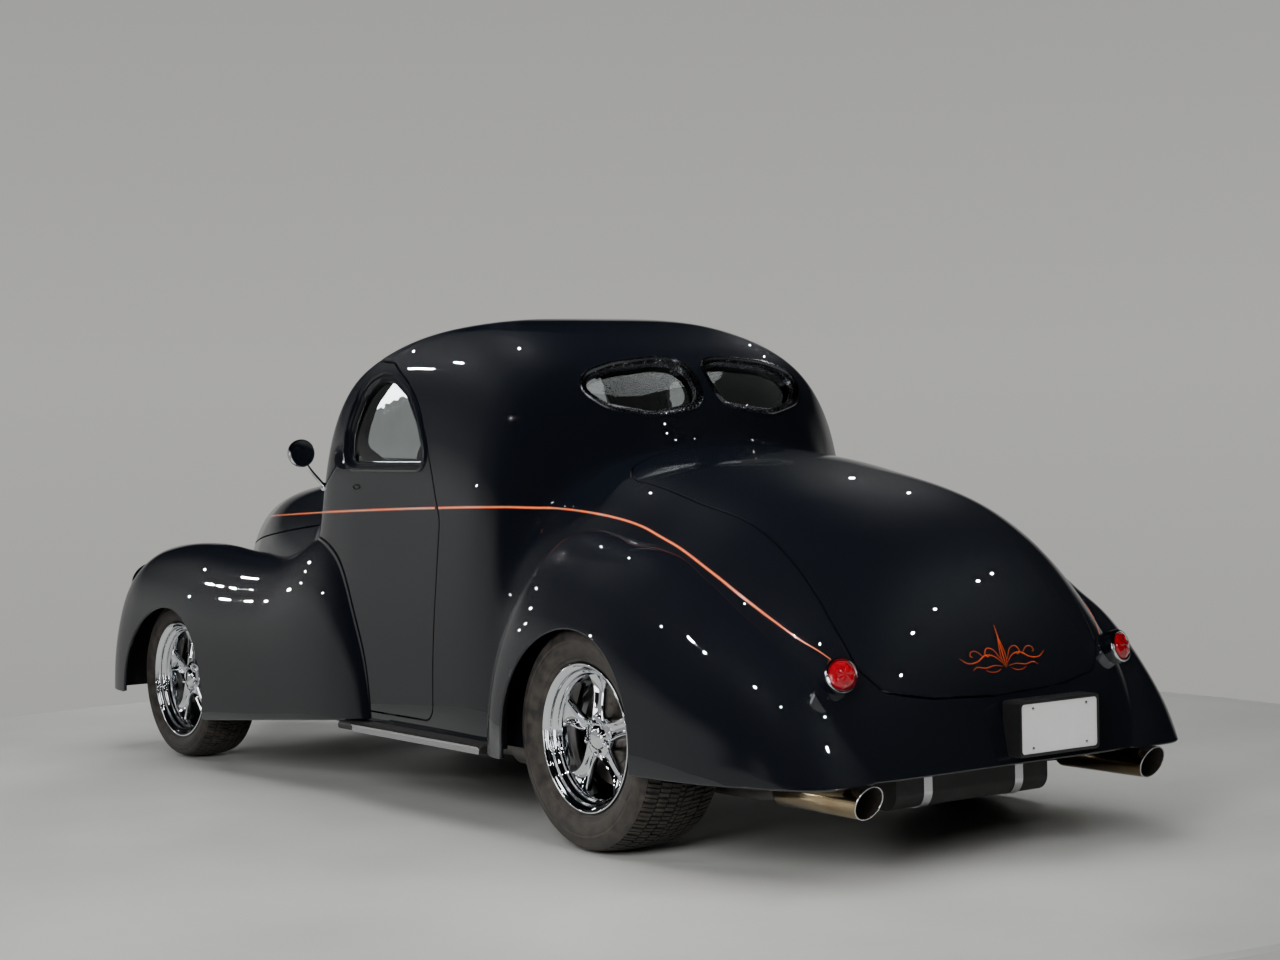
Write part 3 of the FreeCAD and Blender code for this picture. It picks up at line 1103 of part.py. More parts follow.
def make_exhaust():
    """Left exhaust: pipe from the engine, muffler, and a slant-cut tip of thin tube."""
    y = PIPE_SPREAD / 2
    tip_y = TIP_SPREAD / 2
    tip_end = REAR_AXLE_X - REAR_OVERHANG + TIP_INSET
    tip_start = tip_end + TIP_LENGTH
    engine_x = at(COWL_SHARE) + ENGINE_GAP + ENGINE_LENGTH * PORT_SHARE
    points = [FreeCAD.Vector(engine_x, ENGINE_WIDTH / 2 + SEAT_GAP, PIPE_PORT_HEIGHT),
              FreeCAD.Vector(engine_x, y, PIPE_PORT_HEIGHT),
              FreeCAD.Vector(engine_x - PIPE_DROP, y, PIPE_HEIGHT),
              FreeCAD.Vector(REAR_AXLE_X - REAR_WELL_RADIUS, y, PIPE_HEIGHT),
              FreeCAD.Vector(tip_start + PIPE_RADIUS, tip_y, TIP_HEIGHT),
              FreeCAD.Vector(tip_start - PIPE_RADIUS, tip_y, TIP_HEIGHT)]
    pipe = tube_run(PIPE_RADIUS, points)
    start = FreeCAD.Vector(REAR_AXLE_X + REAR_WELL_RADIUS + MUFFLER_LENGTH, y, PIPE_HEIGHT)
    muffler = rod(MUFFLER_RADIUS, start, start - FreeCAD.Vector(MUFFLER_LENGTH, 0, 0))
    back = FreeCAD.Vector(-1, 0, 0)
    tip = Part.makeCylinder(TIP_RADIUS, TIP_LENGTH, FreeCAD.Vector(tip_start, tip_y, TIP_HEIGHT), back)
    bore = Part.makeCylinder(TIP_RADIUS - TIP_WALL, TIP_LENGTH * 2,
                             FreeCAD.Vector(tip_start - TIP_CONE, tip_y, TIP_HEIGHT), back)
    collar = Part.makeCone(PIPE_RADIUS, TIP_RADIUS, TIP_CONE,
                           FreeCAD.Vector(tip_start + TIP_CONE, tip_y, TIP_HEIGHT), back)
    slant = [(tip_end - OVERRUN, 0), (tip_end + TIP_SLANT, 0), (tip_end + TIP_SLANT, TIP_HEIGHT - TIP_RADIUS),
             (tip_end, TIP_HEIGHT + TIP_RADIUS), (tip_end - OVERRUN, TIP_HEIGHT + TIP_RADIUS + OVERRUN)]
    corners = [FreeCAD.Vector(x, tip_y - OVERRUN, z) for x, z in slant]
    knife = Part.Face(Part.makePolygon(corners + corners[:1])).extrude(FreeCAD.Vector(0, 2 * OVERRUN, 0))
    rail_low = RAIL_BOTTOM + RAIL_TAIL_RISE - SEAT_GAP
    hanger_y = RAIL_SPREAD / 2 - RAIL_WIDTH / 2 + HANGER_INSET
    arm = box(tip_start + TIP_CONE, tip_start + TIP_CONE + STRAP_WIDTH, hanger_y, tip_y, TIP_HEIGHT,
              TIP_HEIGHT + HANGER_HEIGHT)
    post = box(tip_start + TIP_CONE, tip_start + TIP_CONE + STRAP_WIDTH, hanger_y, hanger_y + HANGER_HEIGHT,
               TIP_HEIGHT, rail_low)
    whole = pipe.multiFuse([muffler, tip, collar, arm, post])
    return whole.cut(bore).cut(knife)


def tank_span():
    front = REAR_AXLE_X - KICK_REACH + CROSS_LENGTH
    return front - TANK_LENGTH, front


def make_tank():
    """Fuel tank hung behind the axle, its long edges rounded."""
    rear, front = tank_span()
    top = RAIL_BOTTOM + RAIL_TAIL_RISE - SEAT_GAP
    block = box(rear, front, -TANK_WIDTH / 2, TANK_WIDTH / 2, TANK_BOTTOM, top)
    edges = [edge for edge in block.Edges if edge.BoundBox.YLength > TANK_WIDTH / 2]
    return block.makeFillet(TANK_CORNER, edges)


def make_straps():
    """Two flat bands round the tank, bolted up to the tail crossmember."""
    rear, front = tank_span()
    top = RAIL_BOTTOM + RAIL_TAIL_RISE - SEAT_GAP
    outer = box(rear - STRAP_THICKNESS, front + STRAP_THICKNESS, -TANK_WIDTH / 2, TANK_WIDTH / 2,
                TANK_BOTTOM - STRAP_THICKNESS, top)
    edges = [edge for edge in outer.Edges
             if edge.BoundBox.YLength > TANK_WIDTH / 2 and edge.BoundBox.ZMax < TANK_BOTTOM]
    outer = outer.makeFillet(TANK_CORNER + STRAP_THICKNESS, edges)
    inner = box(rear - SEAT_GAP, front + SEAT_GAP, -TANK_WIDTH / 2, TANK_WIDTH / 2,
                TANK_BOTTOM - SEAT_GAP, top)
    edges = [edge for edge in inner.Edges
             if edge.BoundBox.YLength > TANK_WIDTH / 2 and edge.BoundBox.ZMax < TANK_BOTTOM + SEAT_GAP]
    inner = inner.makeFillet(TANK_CORNER, edges)
    band = outer.cut(inner)
    straps = []
    for side in (-1, 1):
        y = side * TANK_WIDTH * STRAP_SHARE
        slab = box(TAIL_X, NOSE_X, y - STRAP_WIDTH / 2, y + STRAP_WIDTH / 2, 0, DECK_HEIGHT)
        straps.append(band.common(slab))
    return Part.makeCompound([strap.Solids[0] for strap in straps])


def lamp_solid(radius, depth, point, away, dome):
    """Round lamp: a short bezel drum with a domed lens."""
    drum = Part.makeCylinder(radius, depth, point, away)
    centre = point + away * (depth + dome - lamp_sphere(radius, dome))
    ball = Part.makeSphere(lamp_sphere(radius, dome), centre)
    cap = ball.common(Part.makeCylinder(radius, dome * 2, point + away * (depth - dome / 2), away))
    return drum.fuse(cap)


def lamp_sphere(radius, dome):
    return (radius ** 2 + dome ** 2) / (2 * dome)


def make_tail_lamps():
    """Two round tail lamps, each let into the tail and trimmed to the skin behind it."""
    place = 0.0
    while body_radius_reach(place) < TAIL_LAMP_SPREAD / 2:
        place += STATION_STEP
    point = FreeCAD.Vector(at(place) + TAIL_LAMP_DEPTH, TAIL_LAMP_SPREAD / 2, TAIL_LAMP_HEIGHT)
    away = FreeCAD.Vector(-1, TAIL_LAMP_TURN, TAIL_LAMP_TURN).normalize()
    lamp = lamp_solid(TAIL_LAMP_RADIUS, TAIL_LAMP_DEPTH * 2, point, away, TAIL_LAMP_DEPTH / 2)
    lamp = lamp.cut(skin_clear).cut(rear_fender_outer(-SEAT_GAP))
    lamp = max(lamp.Solids, key=lambda solid: -solid.BoundBox.XMin)
    return both(lamp)


def body_radius_reach(place):
    """Half width of the skin at the height of the tail lamps."""
    low = 0.0
    high = math.pi / 2
    for _ in range(HALVINGS):
        angle = (low + high) / 2
        if body_radius(place, angle, 0.0) * math.sin(angle) > TAIL_LAMP_HEIGHT - ROCKER_HEIGHT:
            high = angle
        else:
            low = angle
    return body_radius(place, low, 0.0) * math.cos(low)


def make_head_lamps():
    start = head_lamp_point(-HEAD_LAMP_DEPTH)
    lamp = lamp_solid(HEAD_LAMP_RADIUS, HEAD_LAMP_DEPTH, start, FreeCAD.Vector(1, 0, 0), HEAD_LAMP_RADIUS / 4)
    return both(lamp)


def make_plate():
    """Blank licence plate on a bracket that stands on the tail pan."""
    rear = TAIL_X + PLATE_STANDOFF
    low = PLATE_MIDDLE - PLATE_HEIGHT / 2
    plate = box(rear, rear + PLATE_THICKNESS, PLATE_OFFSET - PLATE_LENGTH / 2,
                PLATE_OFFSET + PLATE_LENGTH / 2, low, low + PLATE_HEIGHT)
    arm = box(rear, rear + OVERRUN * 2, PLATE_OFFSET - PLATE_HEIGHT / 2, PLATE_OFFSET + PLATE_HEIGHT / 2,
              PLATE_MIDDLE, PLATE_MIDDLE + PLATE_THICKNESS)
    arm = arm.cut(skin_clear)
    arm = min(arm.Solids, key=lambda solid: solid.BoundBox.XMin)
    return plate.fuse(arm)


def make_mirror():
    """Left door mirror: a round shallow head on a thin bent arm."""
    foot_place = at(MIRROR_SHARE)
    angle = math.radians(MIRROR_FOOT_ANGLE)
    reach = body_radius(MIRROR_SHARE, angle, 0.0) + SEAT_GAP
    foot = FreeCAD.Vector(foot_place, reach * math.cos(angle), ROCKER_HEIGHT + reach * math.sin(angle))
    head = foot + FreeCAD.Vector(-MIRROR_RADIUS / 2, MIRROR_REACH, MIRROR_RISE)
    away = FreeCAD.Vector(1, 0, 0)
    shell = lamp_solid(MIRROR_RADIUS, MIRROR_DEPTH / 2, head, away, MIRROR_DEPTH)
    out = FreeCAD.Vector(0, math.cos(angle), math.sin(angle))
    base = Part.makeCylinder(MIRROR_ARM_RADIUS * 2, MIRROR_ARM_RADIUS * 3, foot - out * MIRROR_ARM_RADIUS,
                             out)
    base = base.cut(skin_clear)
    arm = rod(MIRROR_ARM_RADIUS, foot + out * MIRROR_ARM_RADIUS, head + away * MIRROR_DEPTH / 2)
    arm = arm.cut(skin_clear)
    return shell.multiFuse([base, arm])


def make_radiator():
    x = FRONT_AXLE_X + RAIL_LEAD - CROSS_LENGTH
    low = RAIL_BOTTOM + RAIL_HEIGHT * CROSS_SHARE + SEAT_GAP
    return box(x - RADIATOR_THICKNESS / 2, x + RADIATOR_THICKNESS / 2, -RADIATOR_WIDTH / 2,
               RADIATOR_WIDTH / 2, low, low + RADIATOR_HEIGHT)


def both(left):
    """The left pieces and their mirror images in one shape."""
    return Part.makeCompound(left.Solids + mirrored(left).Solids)


def save_pair(name, left):
    save(name + "_left", left)
    save(name + "_right", mirrored(left))


def main():
    os.makedirs("parts", exist_ok=True)
    save("body_shell", make_body())
    save_pair("door", make_door())
    save("trunk_lid", make_trunk_lid())
    save("hood", make_hood())
    save("nose_shell", make_nose())
    save("grille", make_grille())
    save_pair("front_fender", make_front_fender())
    save_pair("rear_fender", make_rear_fender())
    save("running_boards", both(make_running_board()))
    save("windshield", both(glass_wall.common(screen_form)))
    save("rear_windows", both(glass_wall.common(back_form)))
    save_pair("door_glass", glass_wall.common(window_form))
    save("floor_pan", make_floor())
    save("seat_cushion", make_seat_cushion())
    save("seat_back", make_seat_back())
    dash = make_dash()
    save("dashboard", dash)
    save("steering_wheel", make_steering_wheel(dash))
    save("frame", make_frame())
    save("front_suspension", make_front_suspension())
    save_pair("knuckle", make_knuckle())
    save("rear_axle", make_rear_axle())
    front_rim = make_rim(FRONT_TYRE_WIDTH, RIM_WALL)
    rear_rim = make_rim(REAR_TYRE_WIDTH, RIM_WALL)
    front_tyre = make_tyre(FRONT_TYRE_DIAMETER, FRONT_TYRE_WIDTH)
    rear_tyre = make_tyre(REAR_TYRE_DIAMETER, REAR_TYRE_WIDTH)
    front_spot = (FRONT_AXLE_X, FRONT_TRACK / 2, FRONT_TYRE_DIAMETER / 2)
    rear_spot = (REAR_AXLE_X, REAR_TRACK / 2, REAR_TYRE_DIAMETER / 2)
    save_pair("front_rim", placed(front_rim, *front_spot))
    save_pair("front_tyre", placed(front_tyre, *front_spot))
    save_pair("rear_rim", placed(rear_rim, *rear_spot))
    save_pair("rear_tyre", placed(rear_tyre, *rear_spot))
    save("engine_block", make_engine())
    save("driveline", make_driveline())
    save("exhausts", both(make_exhaust()))
    save("fuel_tank", make_tank())
    save("tank_straps", make_straps())
    save("tail_lamps", make_tail_lamps())
    save("head_lamps", make_head_lamps())
    save("licence_plate", make_plate())
    save_pair("mirror", make_mirror())
    save("radiator", make_radiator())


main()
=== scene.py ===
"""Street rod coupe: its visible pieces, finishes, lights and camera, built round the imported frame."""
import json
from functools import cache
from math import atan2, cos, pi, radians, sin, sqrt

import bmesh
import bpy
import numpy as np
from mathutils import Matrix, Vector
from mathutils.bvhtree import BVHTree

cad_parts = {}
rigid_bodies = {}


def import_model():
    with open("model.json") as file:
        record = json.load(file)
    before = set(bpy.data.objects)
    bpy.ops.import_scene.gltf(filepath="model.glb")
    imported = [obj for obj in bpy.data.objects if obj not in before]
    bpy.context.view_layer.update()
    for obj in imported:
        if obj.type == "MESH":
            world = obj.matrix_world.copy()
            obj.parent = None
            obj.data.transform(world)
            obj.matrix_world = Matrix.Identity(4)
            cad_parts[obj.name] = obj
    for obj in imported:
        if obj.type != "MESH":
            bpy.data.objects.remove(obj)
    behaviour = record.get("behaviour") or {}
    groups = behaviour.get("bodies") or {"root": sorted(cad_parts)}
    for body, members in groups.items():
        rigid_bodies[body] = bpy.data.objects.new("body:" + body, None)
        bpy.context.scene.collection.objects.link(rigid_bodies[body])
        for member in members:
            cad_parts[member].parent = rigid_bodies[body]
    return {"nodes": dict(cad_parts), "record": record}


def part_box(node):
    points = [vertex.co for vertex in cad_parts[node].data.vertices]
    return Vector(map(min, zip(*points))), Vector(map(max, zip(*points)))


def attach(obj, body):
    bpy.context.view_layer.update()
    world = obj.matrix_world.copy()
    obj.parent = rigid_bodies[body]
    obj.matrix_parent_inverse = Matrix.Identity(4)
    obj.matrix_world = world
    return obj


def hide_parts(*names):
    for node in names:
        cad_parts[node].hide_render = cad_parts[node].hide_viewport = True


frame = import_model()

bl_info = {
    "name": "Street rod coupe",
    "version": (1, 0, 0),
    "blender": (4, 5, 0),
    "location": "3D View > Sidebar > Coupe",
    "description": "Builds the visible pieces of a closed street rod round its packed frame",
    "category": "Object",
}

TAIL_X = -2.131
LENGTH = 4.262
ROCKER = 0.250
BODY_HALF = 0.715
DECK_RISE = 0.857
CABIN_HALF = 0.700
ROOF_RISE = 1.280
BLEND_POWER = 30
FENDER_SQUARENESS = 2.4
FRONT_AXLE = (1.441, 0.655, 0.286)
REAR_AXLE = (-1.201, 0.645, 0.320)
EXHAUST_SPREAD = 0.52
EXHAUST_HEIGHT = 0.2165
CLEAR_OF_BODY = 1.2

# Lower body: place along the length, shares of half width and of deck rise, squareness
lower_body_shares = (
    (0.0115, 0.600, 0.019, 2.20), (0.0135, 0.660, 0.075, 2.20), (0.0192, 0.745, 0.222, 2.30),
    (0.0260, 0.800, 0.330, 2.35), (0.0400, 0.874, 0.484, 2.35), (0.0660, 0.923, 0.653, 2.50),
    (0.1010, 0.958, 0.788, 2.75), (0.1360, 0.975, 0.869, 2.85), (0.1830, 0.986, 0.928, 2.80),
    (0.2420, 0.996, 0.974, 3.00), (0.3000, 1.000, 1.000, 3.00), (0.3820, 1.000, 0.992, 3.00),
    (0.4760, 1.000, 0.957, 3.10), (0.5470, 1.000, 0.928, 3.30), (0.6170, 0.994, 0.901, 3.80),
    (0.6520, 0.972, 0.894, 4.20), (0.7110, 0.916, 0.881, 4.50), (0.7580, 0.839, 0.863, 4.50),
    (0.8050, 0.727, 0.840, 4.20), (0.8520, 0.601, 0.814, 3.80), (0.8990, 0.462, 0.782, 3.20),
    (0.9340, 0.350, 0.747, 2.80), (0.9640, 0.238, 0.694, 2.40), (0.9830, 0.154, 0.630, 2.20),
    (0.9950, 0.077, 0.525, 2.00), (1.0000, 0.028, 0.362, 2.00))

# Cabin: place along the length, shares of half width and of roof rise, squareness
cabin_shares = (
    (0.2886, 0.170, 0.430, 3.4), (0.2980, 0.286, 0.586, 3.6), (0.3008, 0.414, 0.670, 3.8),
    (0.3067, 0.564, 0.762, 4.0), (0.3144, 0.685, 0.812, 4.0), (0.3233, 0.782, 0.848, 4.0),
    (0.3336, 0.885, 0.879, 4.0), (0.3534, 0.988, 0.920, 4.1), (0.3825, 1.008, 0.959, 4.1),
    (0.4294, 1.004, 0.992, 4.1), (0.4763, 1.000, 1.000, 4.2), (0.5148, 1.000, 0.993, 4.5),
    (0.5467, 1.000, 0.973, 5.0), (0.5702, 0.992, 0.939, 5.8), (0.5866, 0.984, 0.892, 6.6),
    (0.6030, 0.966, 0.790, 7.0), (0.6171, 0.936, 0.660, 6.5), (0.6312, 0.880, 0.520, 5.5),
    (0.6406, 0.800, 0.420, 4.5))

# Rear fender: place along its length, shares of its bulge and of its height
rear_fender_shares = (
    (0.000, 0.240, 0.020), (0.014, 0.380, 0.075), (0.043, 0.500, 0.180), (0.079, 0.590, 0.300),
    (0.122, 0.665, 0.410), (0.173, 0.775, 0.505), (0.223, 0.845, 0.590), (0.281, 0.905, 0.660),
    (0.388, 0.965, 0.805), (0.496, 1.000, 0.918), (0.604, 1.000, 0.980), (0.712, 1.000, 1.000),
    (0.806, 0.995, 0.955), (0.878, 0.970, 0.850), (0.928, 0.920, 0.720), (0.964, 0.820, 0.545),
    (0.989, 0.650, 0.320), (1.000, 0.480, 0.120))

# Front fender: place along its length, shares of its bulge and of its height
front_fender_shares = (
    (0.000, 0.420, 0.100), (0.006, 0.500, 0.270), (0.020, 0.550, 0.517), (0.047, 0.625, 0.690),
    (0.080, 0.675, 0.860), (0.107, 0.710, 0.970), (0.155, 0.750, 1.070), (0.203, 0.780, 1.090),
    (0.262, 0.810, 1.050), (0.316, 0.840, 0.990), (0.370, 0.870, 0.957), (0.450, 0.910, 0.960),
    (0.531, 0.950, 0.975), (0.639, 0.990, 1.000), (0.746, 1.000, 0.995), (0.854, 0.995, 0.960),
    (0.908, 0.965, 0.910), (0.945, 0.915, 0.830), (0.977, 0.800, 0.690), (0.991, 0.630, 0.520),
    (1.000, 0.420, 0.300))

# Belt stripe: place along the car and height, both in metres
belt_line = (
    (-1.958, 0.553), (-1.948, 0.561), (-1.916, 0.587), (-1.869, 0.617), (-1.814, 0.652),
    (-1.752, 0.689), (-1.681, 0.727), (-1.602, 0.766), (-1.511, 0.803), (-1.408, 0.839),
    (-1.306, 0.869), (-1.211, 0.897), (-1.116, 0.915), (-1.013, 0.927), (-0.857, 0.938),
    (-0.729, 0.942), (-0.641, 0.946), (-0.295, 0.938), (0.219, 0.920), (0.772, 0.895),
    (1.313, 0.867), (1.700, 0.838), (1.900, 0.815))


def linear(code):
    """Linear colour of an sRGB hex code."""
    shades = [int(code[i:i + 2], 16) / 255 for i in (1, 3, 5)]
    return tuple(s / 12.92 if s <= 0.04045 else ((s + 0.055) / 1.055) ** 2.4 for s in shades)


def mm(*rows):
    """Rows given in millimetres, in metres."""
    return [tuple(value / 1000 for value in row) for row in rows]


def moved(profile, distance, sign=1):
    """Lathe profile moved along its axis, or turned to face the other way."""
    return [(distance + sign * along, radius) for along, radius in profile]


class PaintSettings(bpy.types.PropertyGroup):
    """Colours of the body."""
    body: bpy.props.FloatVectorProperty(
        name="Body", description="Colour of the lacquer under its clear coat",
        subtype="COLOR", size=3, min=0, max=1, default=linear("#0B0D12"))
    stripe: bpy.props.FloatVectorProperty(
        name="Stripe", description="Edge colour of the belt stripe and the scroll",
        subtype="COLOR", size=3, min=0, max=1, default=linear("#D9541E"))
    # Pale painted highlight down the middle of the belt stripe, standing for the light caught along it
    stripe_heart: bpy.props.FloatVectorProperty(
        name="Stripe middle", description="Pale colour down the middle of the belt stripe",
        subtype="COLOR", size=3, min=0, max=1, default=linear("#F0B08A"))
    stripe_width: bpy.props.FloatProperty(
        name="Stripe width", description="Width of the belt stripe",
        subtype="DISTANCE", unit="LENGTH", default=0.008)


class WheelSettings(bpy.types.PropertyGroup):
    """Sizes of the wheels and tyres."""
    spokes: bpy.props.IntProperty(name="Spokes", description="Spokes of each wheel", default=5, min=3)
    nuts: bpy.props.IntProperty(name="Wheel nuts", description="Nuts round each hub", default=5, min=3)
    pitches: bpy.props.IntProperty(
        name="Tread pitches", description="Tread blocks round each tyre", default=62, min=12)
    groove: bpy.props.FloatProperty(
        name="Tread depth", description="Depth of the tread grooves",
        subtype="DISTANCE", unit="LENGTH", default=0.006)


class TrimSettings(bpy.types.PropertyGroup):
    """Sizes of the trim."""
    bead: bpy.props.FloatProperty(
        name="Rolled edge", description="Radius of the rolled edge of the fenders",
        subtype="DISTANCE", unit="LENGTH", default=0.0045)
    ribs: bpy.props.IntProperty(name="Ribs", description="Ribs on each running board", default=9, min=1)


class StageSettings(bpy.types.PropertyGroup):
    """Light of the studio."""
    soft: bpy.props.FloatProperty(
        name="Soft light", description="Power of the large lamp overhead", subtype="POWER",
        unit="POWER", default=260)
    spot: bpy.props.FloatProperty(
        name="Small lamps", description="Power of each small ceiling lamp", subtype="POWER",
        unit="POWER", default=0.5)


# ---- finishes


def add(tree, kind, inputs=None, **settings):
    """Adds one node, makes its settings, and sets or links its inputs."""
    new = tree.nodes.new(kind)
    for name, value in settings.items():
        setattr(new, name, value)
    for key, value in (inputs or {}).items():
        if isinstance(value, bpy.types.NodeSocket):
            tree.links.new(value, new.inputs[key])
        else:
            new.inputs[key].default_value = value
    return new


def finish(name, colour, **values):
    """New material with its main shader set, given back with its node tree and shader."""
    material = bpy.data.materials.new(name)
    material.use_nodes = True
    tree = material.node_tree
    shader = tree.nodes["Principled BSDF"]
    shader.inputs["Base Color"].default_value = (*colour, 1)
    for key, value in values.items():
        shader.inputs[key.replace("_", " ").title().replace("Ior", "IOR")].default_value = value
    return material, tree, shader


def grain(tree, millimetres, detail=3.0, stretch=(1, 1, 1), seed=0.0):
    """Noise of a real grain size in millimetres on object coordinates."""
    place = add(tree, "ShaderNodeTexCoord").outputs["Object"]
    turned = add(tree, "ShaderNodeMapping", {"Vector": place, "Scale": stretch, "Location": (seed, 0, 0)})
    noise = add(tree, "ShaderNodeTexNoise", {"Vector": turned.outputs[0], "Scale": 1000 / millimetres,
                                             "Detail": detail})
    return noise.outputs["Fac"]


def spread(tree, value, low, high, start=0.3, end=0.7):
    """A noise value spread between two numbers."""
    return add(tree, "ShaderNodeMapRange", {"Value": value, "From Min": start, "From Max": end,
                                            "To Min": low, "To Max": high}).outputs[0]


def tint(tree, value, first, second):
    """A colour between two, by a value."""
    mix = add(tree, "ShaderNodeMix", {0: value, 6: (*first, 1), 7: (*second, 1)}, data_type="RGBA")
    return mix.outputs[2]


def bump(tree, shader, height, strength, distance):
    """Raised grain of a height in metres."""
    raised = add(tree, "ShaderNodeBump", {"Height": height, "Strength": strength, "Distance": distance})
    tree.links.new(raised.outputs[0], shader.inputs["Normal"])


@cache
def black_lacquer():
    """Sprayed black lacquer, flatted and polished: a deep mirror with a trace of wash marks."""
    colour = bpy.context.scene.coupe_paint.body
    material, tree, shader = finish("gloss_black_lacquer", colour, roughness=0.5, coat_weight=1.0,
                                    coat_roughness=0.012, coat_ior=1.6, specular_ior_level=0.06)
    # Fine wash marks, 2 mm apart, show as a faint bloom round each lamp's image
    marks = grain(tree, 2.0, detail=4.0, stretch=(1, 6, 1))
    tree.links.new(spread(tree, marks, 0.4, 0.6), shader.inputs["Roughness"])
    flop = add(tree, "ShaderNodeLayerWeight", {"Blend": 0.35}).outputs["Facing"]
    deep = tuple(colour)
    blue = linear("#10141C")
    tree.links.new(tint(tree, flop, deep, blue), shader.inputs["Base Color"])
    return material


# What each finish gives the eye stands above its row: colour and roughness, the two tints and the grain
# (millimetres, detail, stretch, seed) that clouds them, the span of that grain, the grain and the range of
# the haze, and the raised grain with its strength and depth
finish_rows = {
    # Plated chrome over polished metal: a hard mirror, faintly hazed by dust
    "bright_chrome": dict(colour="#E6E8EC", roughness=0.04, metallic=1.0, haze=(9.0,), range=(0.025, 0.07)),
    # Moulded black rubber: matt, with grey road dust in its hollows
    "moulded_tyre_rubber": dict(
        colour="#2B2928", roughness=0.62, specular_ior_level=0.4, tints=("#292726", "#4C4742"),
        cloud=(30.0, 6.0), span=(0.35, 0.75), range=(0.5, 0.78), raised=((1.6, 2.0), 0.25, 0.0006)),
    # Toughened glass with a light grey tint: clear straight on, a mirror at the edges
    "grey_tinted_glass": dict(
        colour="#D3D7D9", roughness=0.0, transmission_weight=1.0, ior=1.45, tints=("#CDD2D4", "#D8DCDD"),
        cloud=(60.0, 5.0)),
    # Extruded sealing rubber: dull black with a soft sheen
    "extruded_seal_rubber": dict(
        colour="#111113", roughness=0.42, haze=(6.0,), range=(0.34, 0.5), raised=((1.2,), 0.12, 0.0004)),
    # Satin black-nickel plate on a rolled steel ring: dark grey with long soft highlights
    "satin_plated_steel": dict(
        colour="#6E7176", roughness=0.24, metallic=1.0, haze=(5.0,), range=(0.2, 0.32)),
    # Brushed-on chassis enamel: black, half matt, with a little road film
    "satin_chassis_enamel": dict(
        colour="#131314", roughness=0.45, tints=("#101011", "#2A2724"), cloud=(45.0, 5.0), span=(0.5, 0.8),
        range=(0.38, 0.6)),
    # Polished stainless steel, straw coloured by heat, with fine lines round the tube
    "heat_tinted_stainless": dict(
        colour="#C2AE8B", roughness=0.14, metallic=1.0, tints=("#CDBB98", "#A68C66"), cloud=(130.0, 2.0),
        span=(0.3, 0.7), haze=(1.5, 2.0, (40, 1, 1)), range=(0.09, 0.2)),
    # Baked soot inside a pipe: dead black with a brown cast
    "baked_soot": dict(colour="#14110F", roughness=0.9, tints=("#0B0A09", "#2A231D"), cloud=(12.0,)),
    # Aluminised mild steel: grey and slightly mottled
    "aluminised_steel": dict(
        colour="#6E6C69", roughness=0.45, metallic=1.0, tints=("#4E4B48", "#86837F"), cloud=(35.0, 5.0),
        range=(0.35, 0.6)),
    # Polished aluminium strip with drawn lines along it
    "polished_aluminium": dict(
        colour="#D8D9DA", roughness=0.16, metallic=1.0, haze=(1.0, 3.0, (0.02, 1, 1)), range=(0.1, 0.22)),
    # Moulded ribbed rubber mat: black and matt, dusty in the grooves
    "moulded_mat_rubber": dict(
        colour="#151515", roughness=0.6, tints=("#111111", "#2C2A28"), cloud=(25.0, 5.0),
        raised=((1.5,), 0.2, 0.0005)),
    # Moulded black plastic with a fine leathery grain
    "grained_black_abs": dict(
        colour="#141415", roughness=0.5, haze=(8.0,), range=(0.42, 0.58), raised=((1.4,), 0.25, 0.0005)),
    # Sand-cast iron under grey engine enamel: softly pitted
    "enamelled_cast_iron": dict(
        colour="#4A4B4D", roughness=0.5, tints=("#3C3D3F", "#58595B"), cloud=(3.0, 5.0),
        raised=((3.0, 5.0), 0.4, 0.001)),
    # Turned iron brake disc: grey, with a little flash rust
    "turned_grey_iron": dict(
        colour="#77736E", roughness=0.35, metallic=1.0, tints=("#77746F", "#6B4A34"), cloud=(18.0, 6.0),
        span=(0.5, 0.8)),
    # Pressed red glass: deep ruby with bright facets
    "pressed_red_glass": dict(
        colour="#A80016", roughness=0.05, transmission_weight=0.35, ior=1.5, coat_weight=1.0,
        coat_roughness=0.02, tints=("#8A0010", "#C00A20"), cloud=(12.0, 2.0)),
    # Pressed clear glass of a head lamp, faintly dusty
    "pressed_clear_glass": dict(
        colour="#F2F5F7", roughness=0.02, transmission_weight=1.0, ior=1.5, haze=(20.0,), range=(0.0, 0.05)),
    # Baked white enamel on pressed aluminium: clean and half glossy
    "baked_white_enamel": dict(
        colour="#ECEDEC", roughness=0.3, coat_weight=0.4, coat_roughness=0.1, tints=("#E4E5E5", "#F2F2F1"),
        cloud=(60.0,)),
    # Printed dial: warm white card under glass
    "printed_dial_card": dict(colour="#D9D6CC", roughness=0.4, tints=("#D2CFC5", "#DEDBD2"), cloud=(5.0,)),
    # Power-floated concrete with a worn sealer: pale grey, cloudy, softly shiny
    "sealed_concrete": dict(
        colour="#A9AAA7", roughness=0.4, tints=("#B6B7B3", "#D2D3CF"), cloud=(900.0, 9.0), span=(0.15, 0.85),
        haze=(500.0, 6.0, (1, 1, 1), 3.0), range=(0.28, 0.5, 0.1, 0.9)),
}


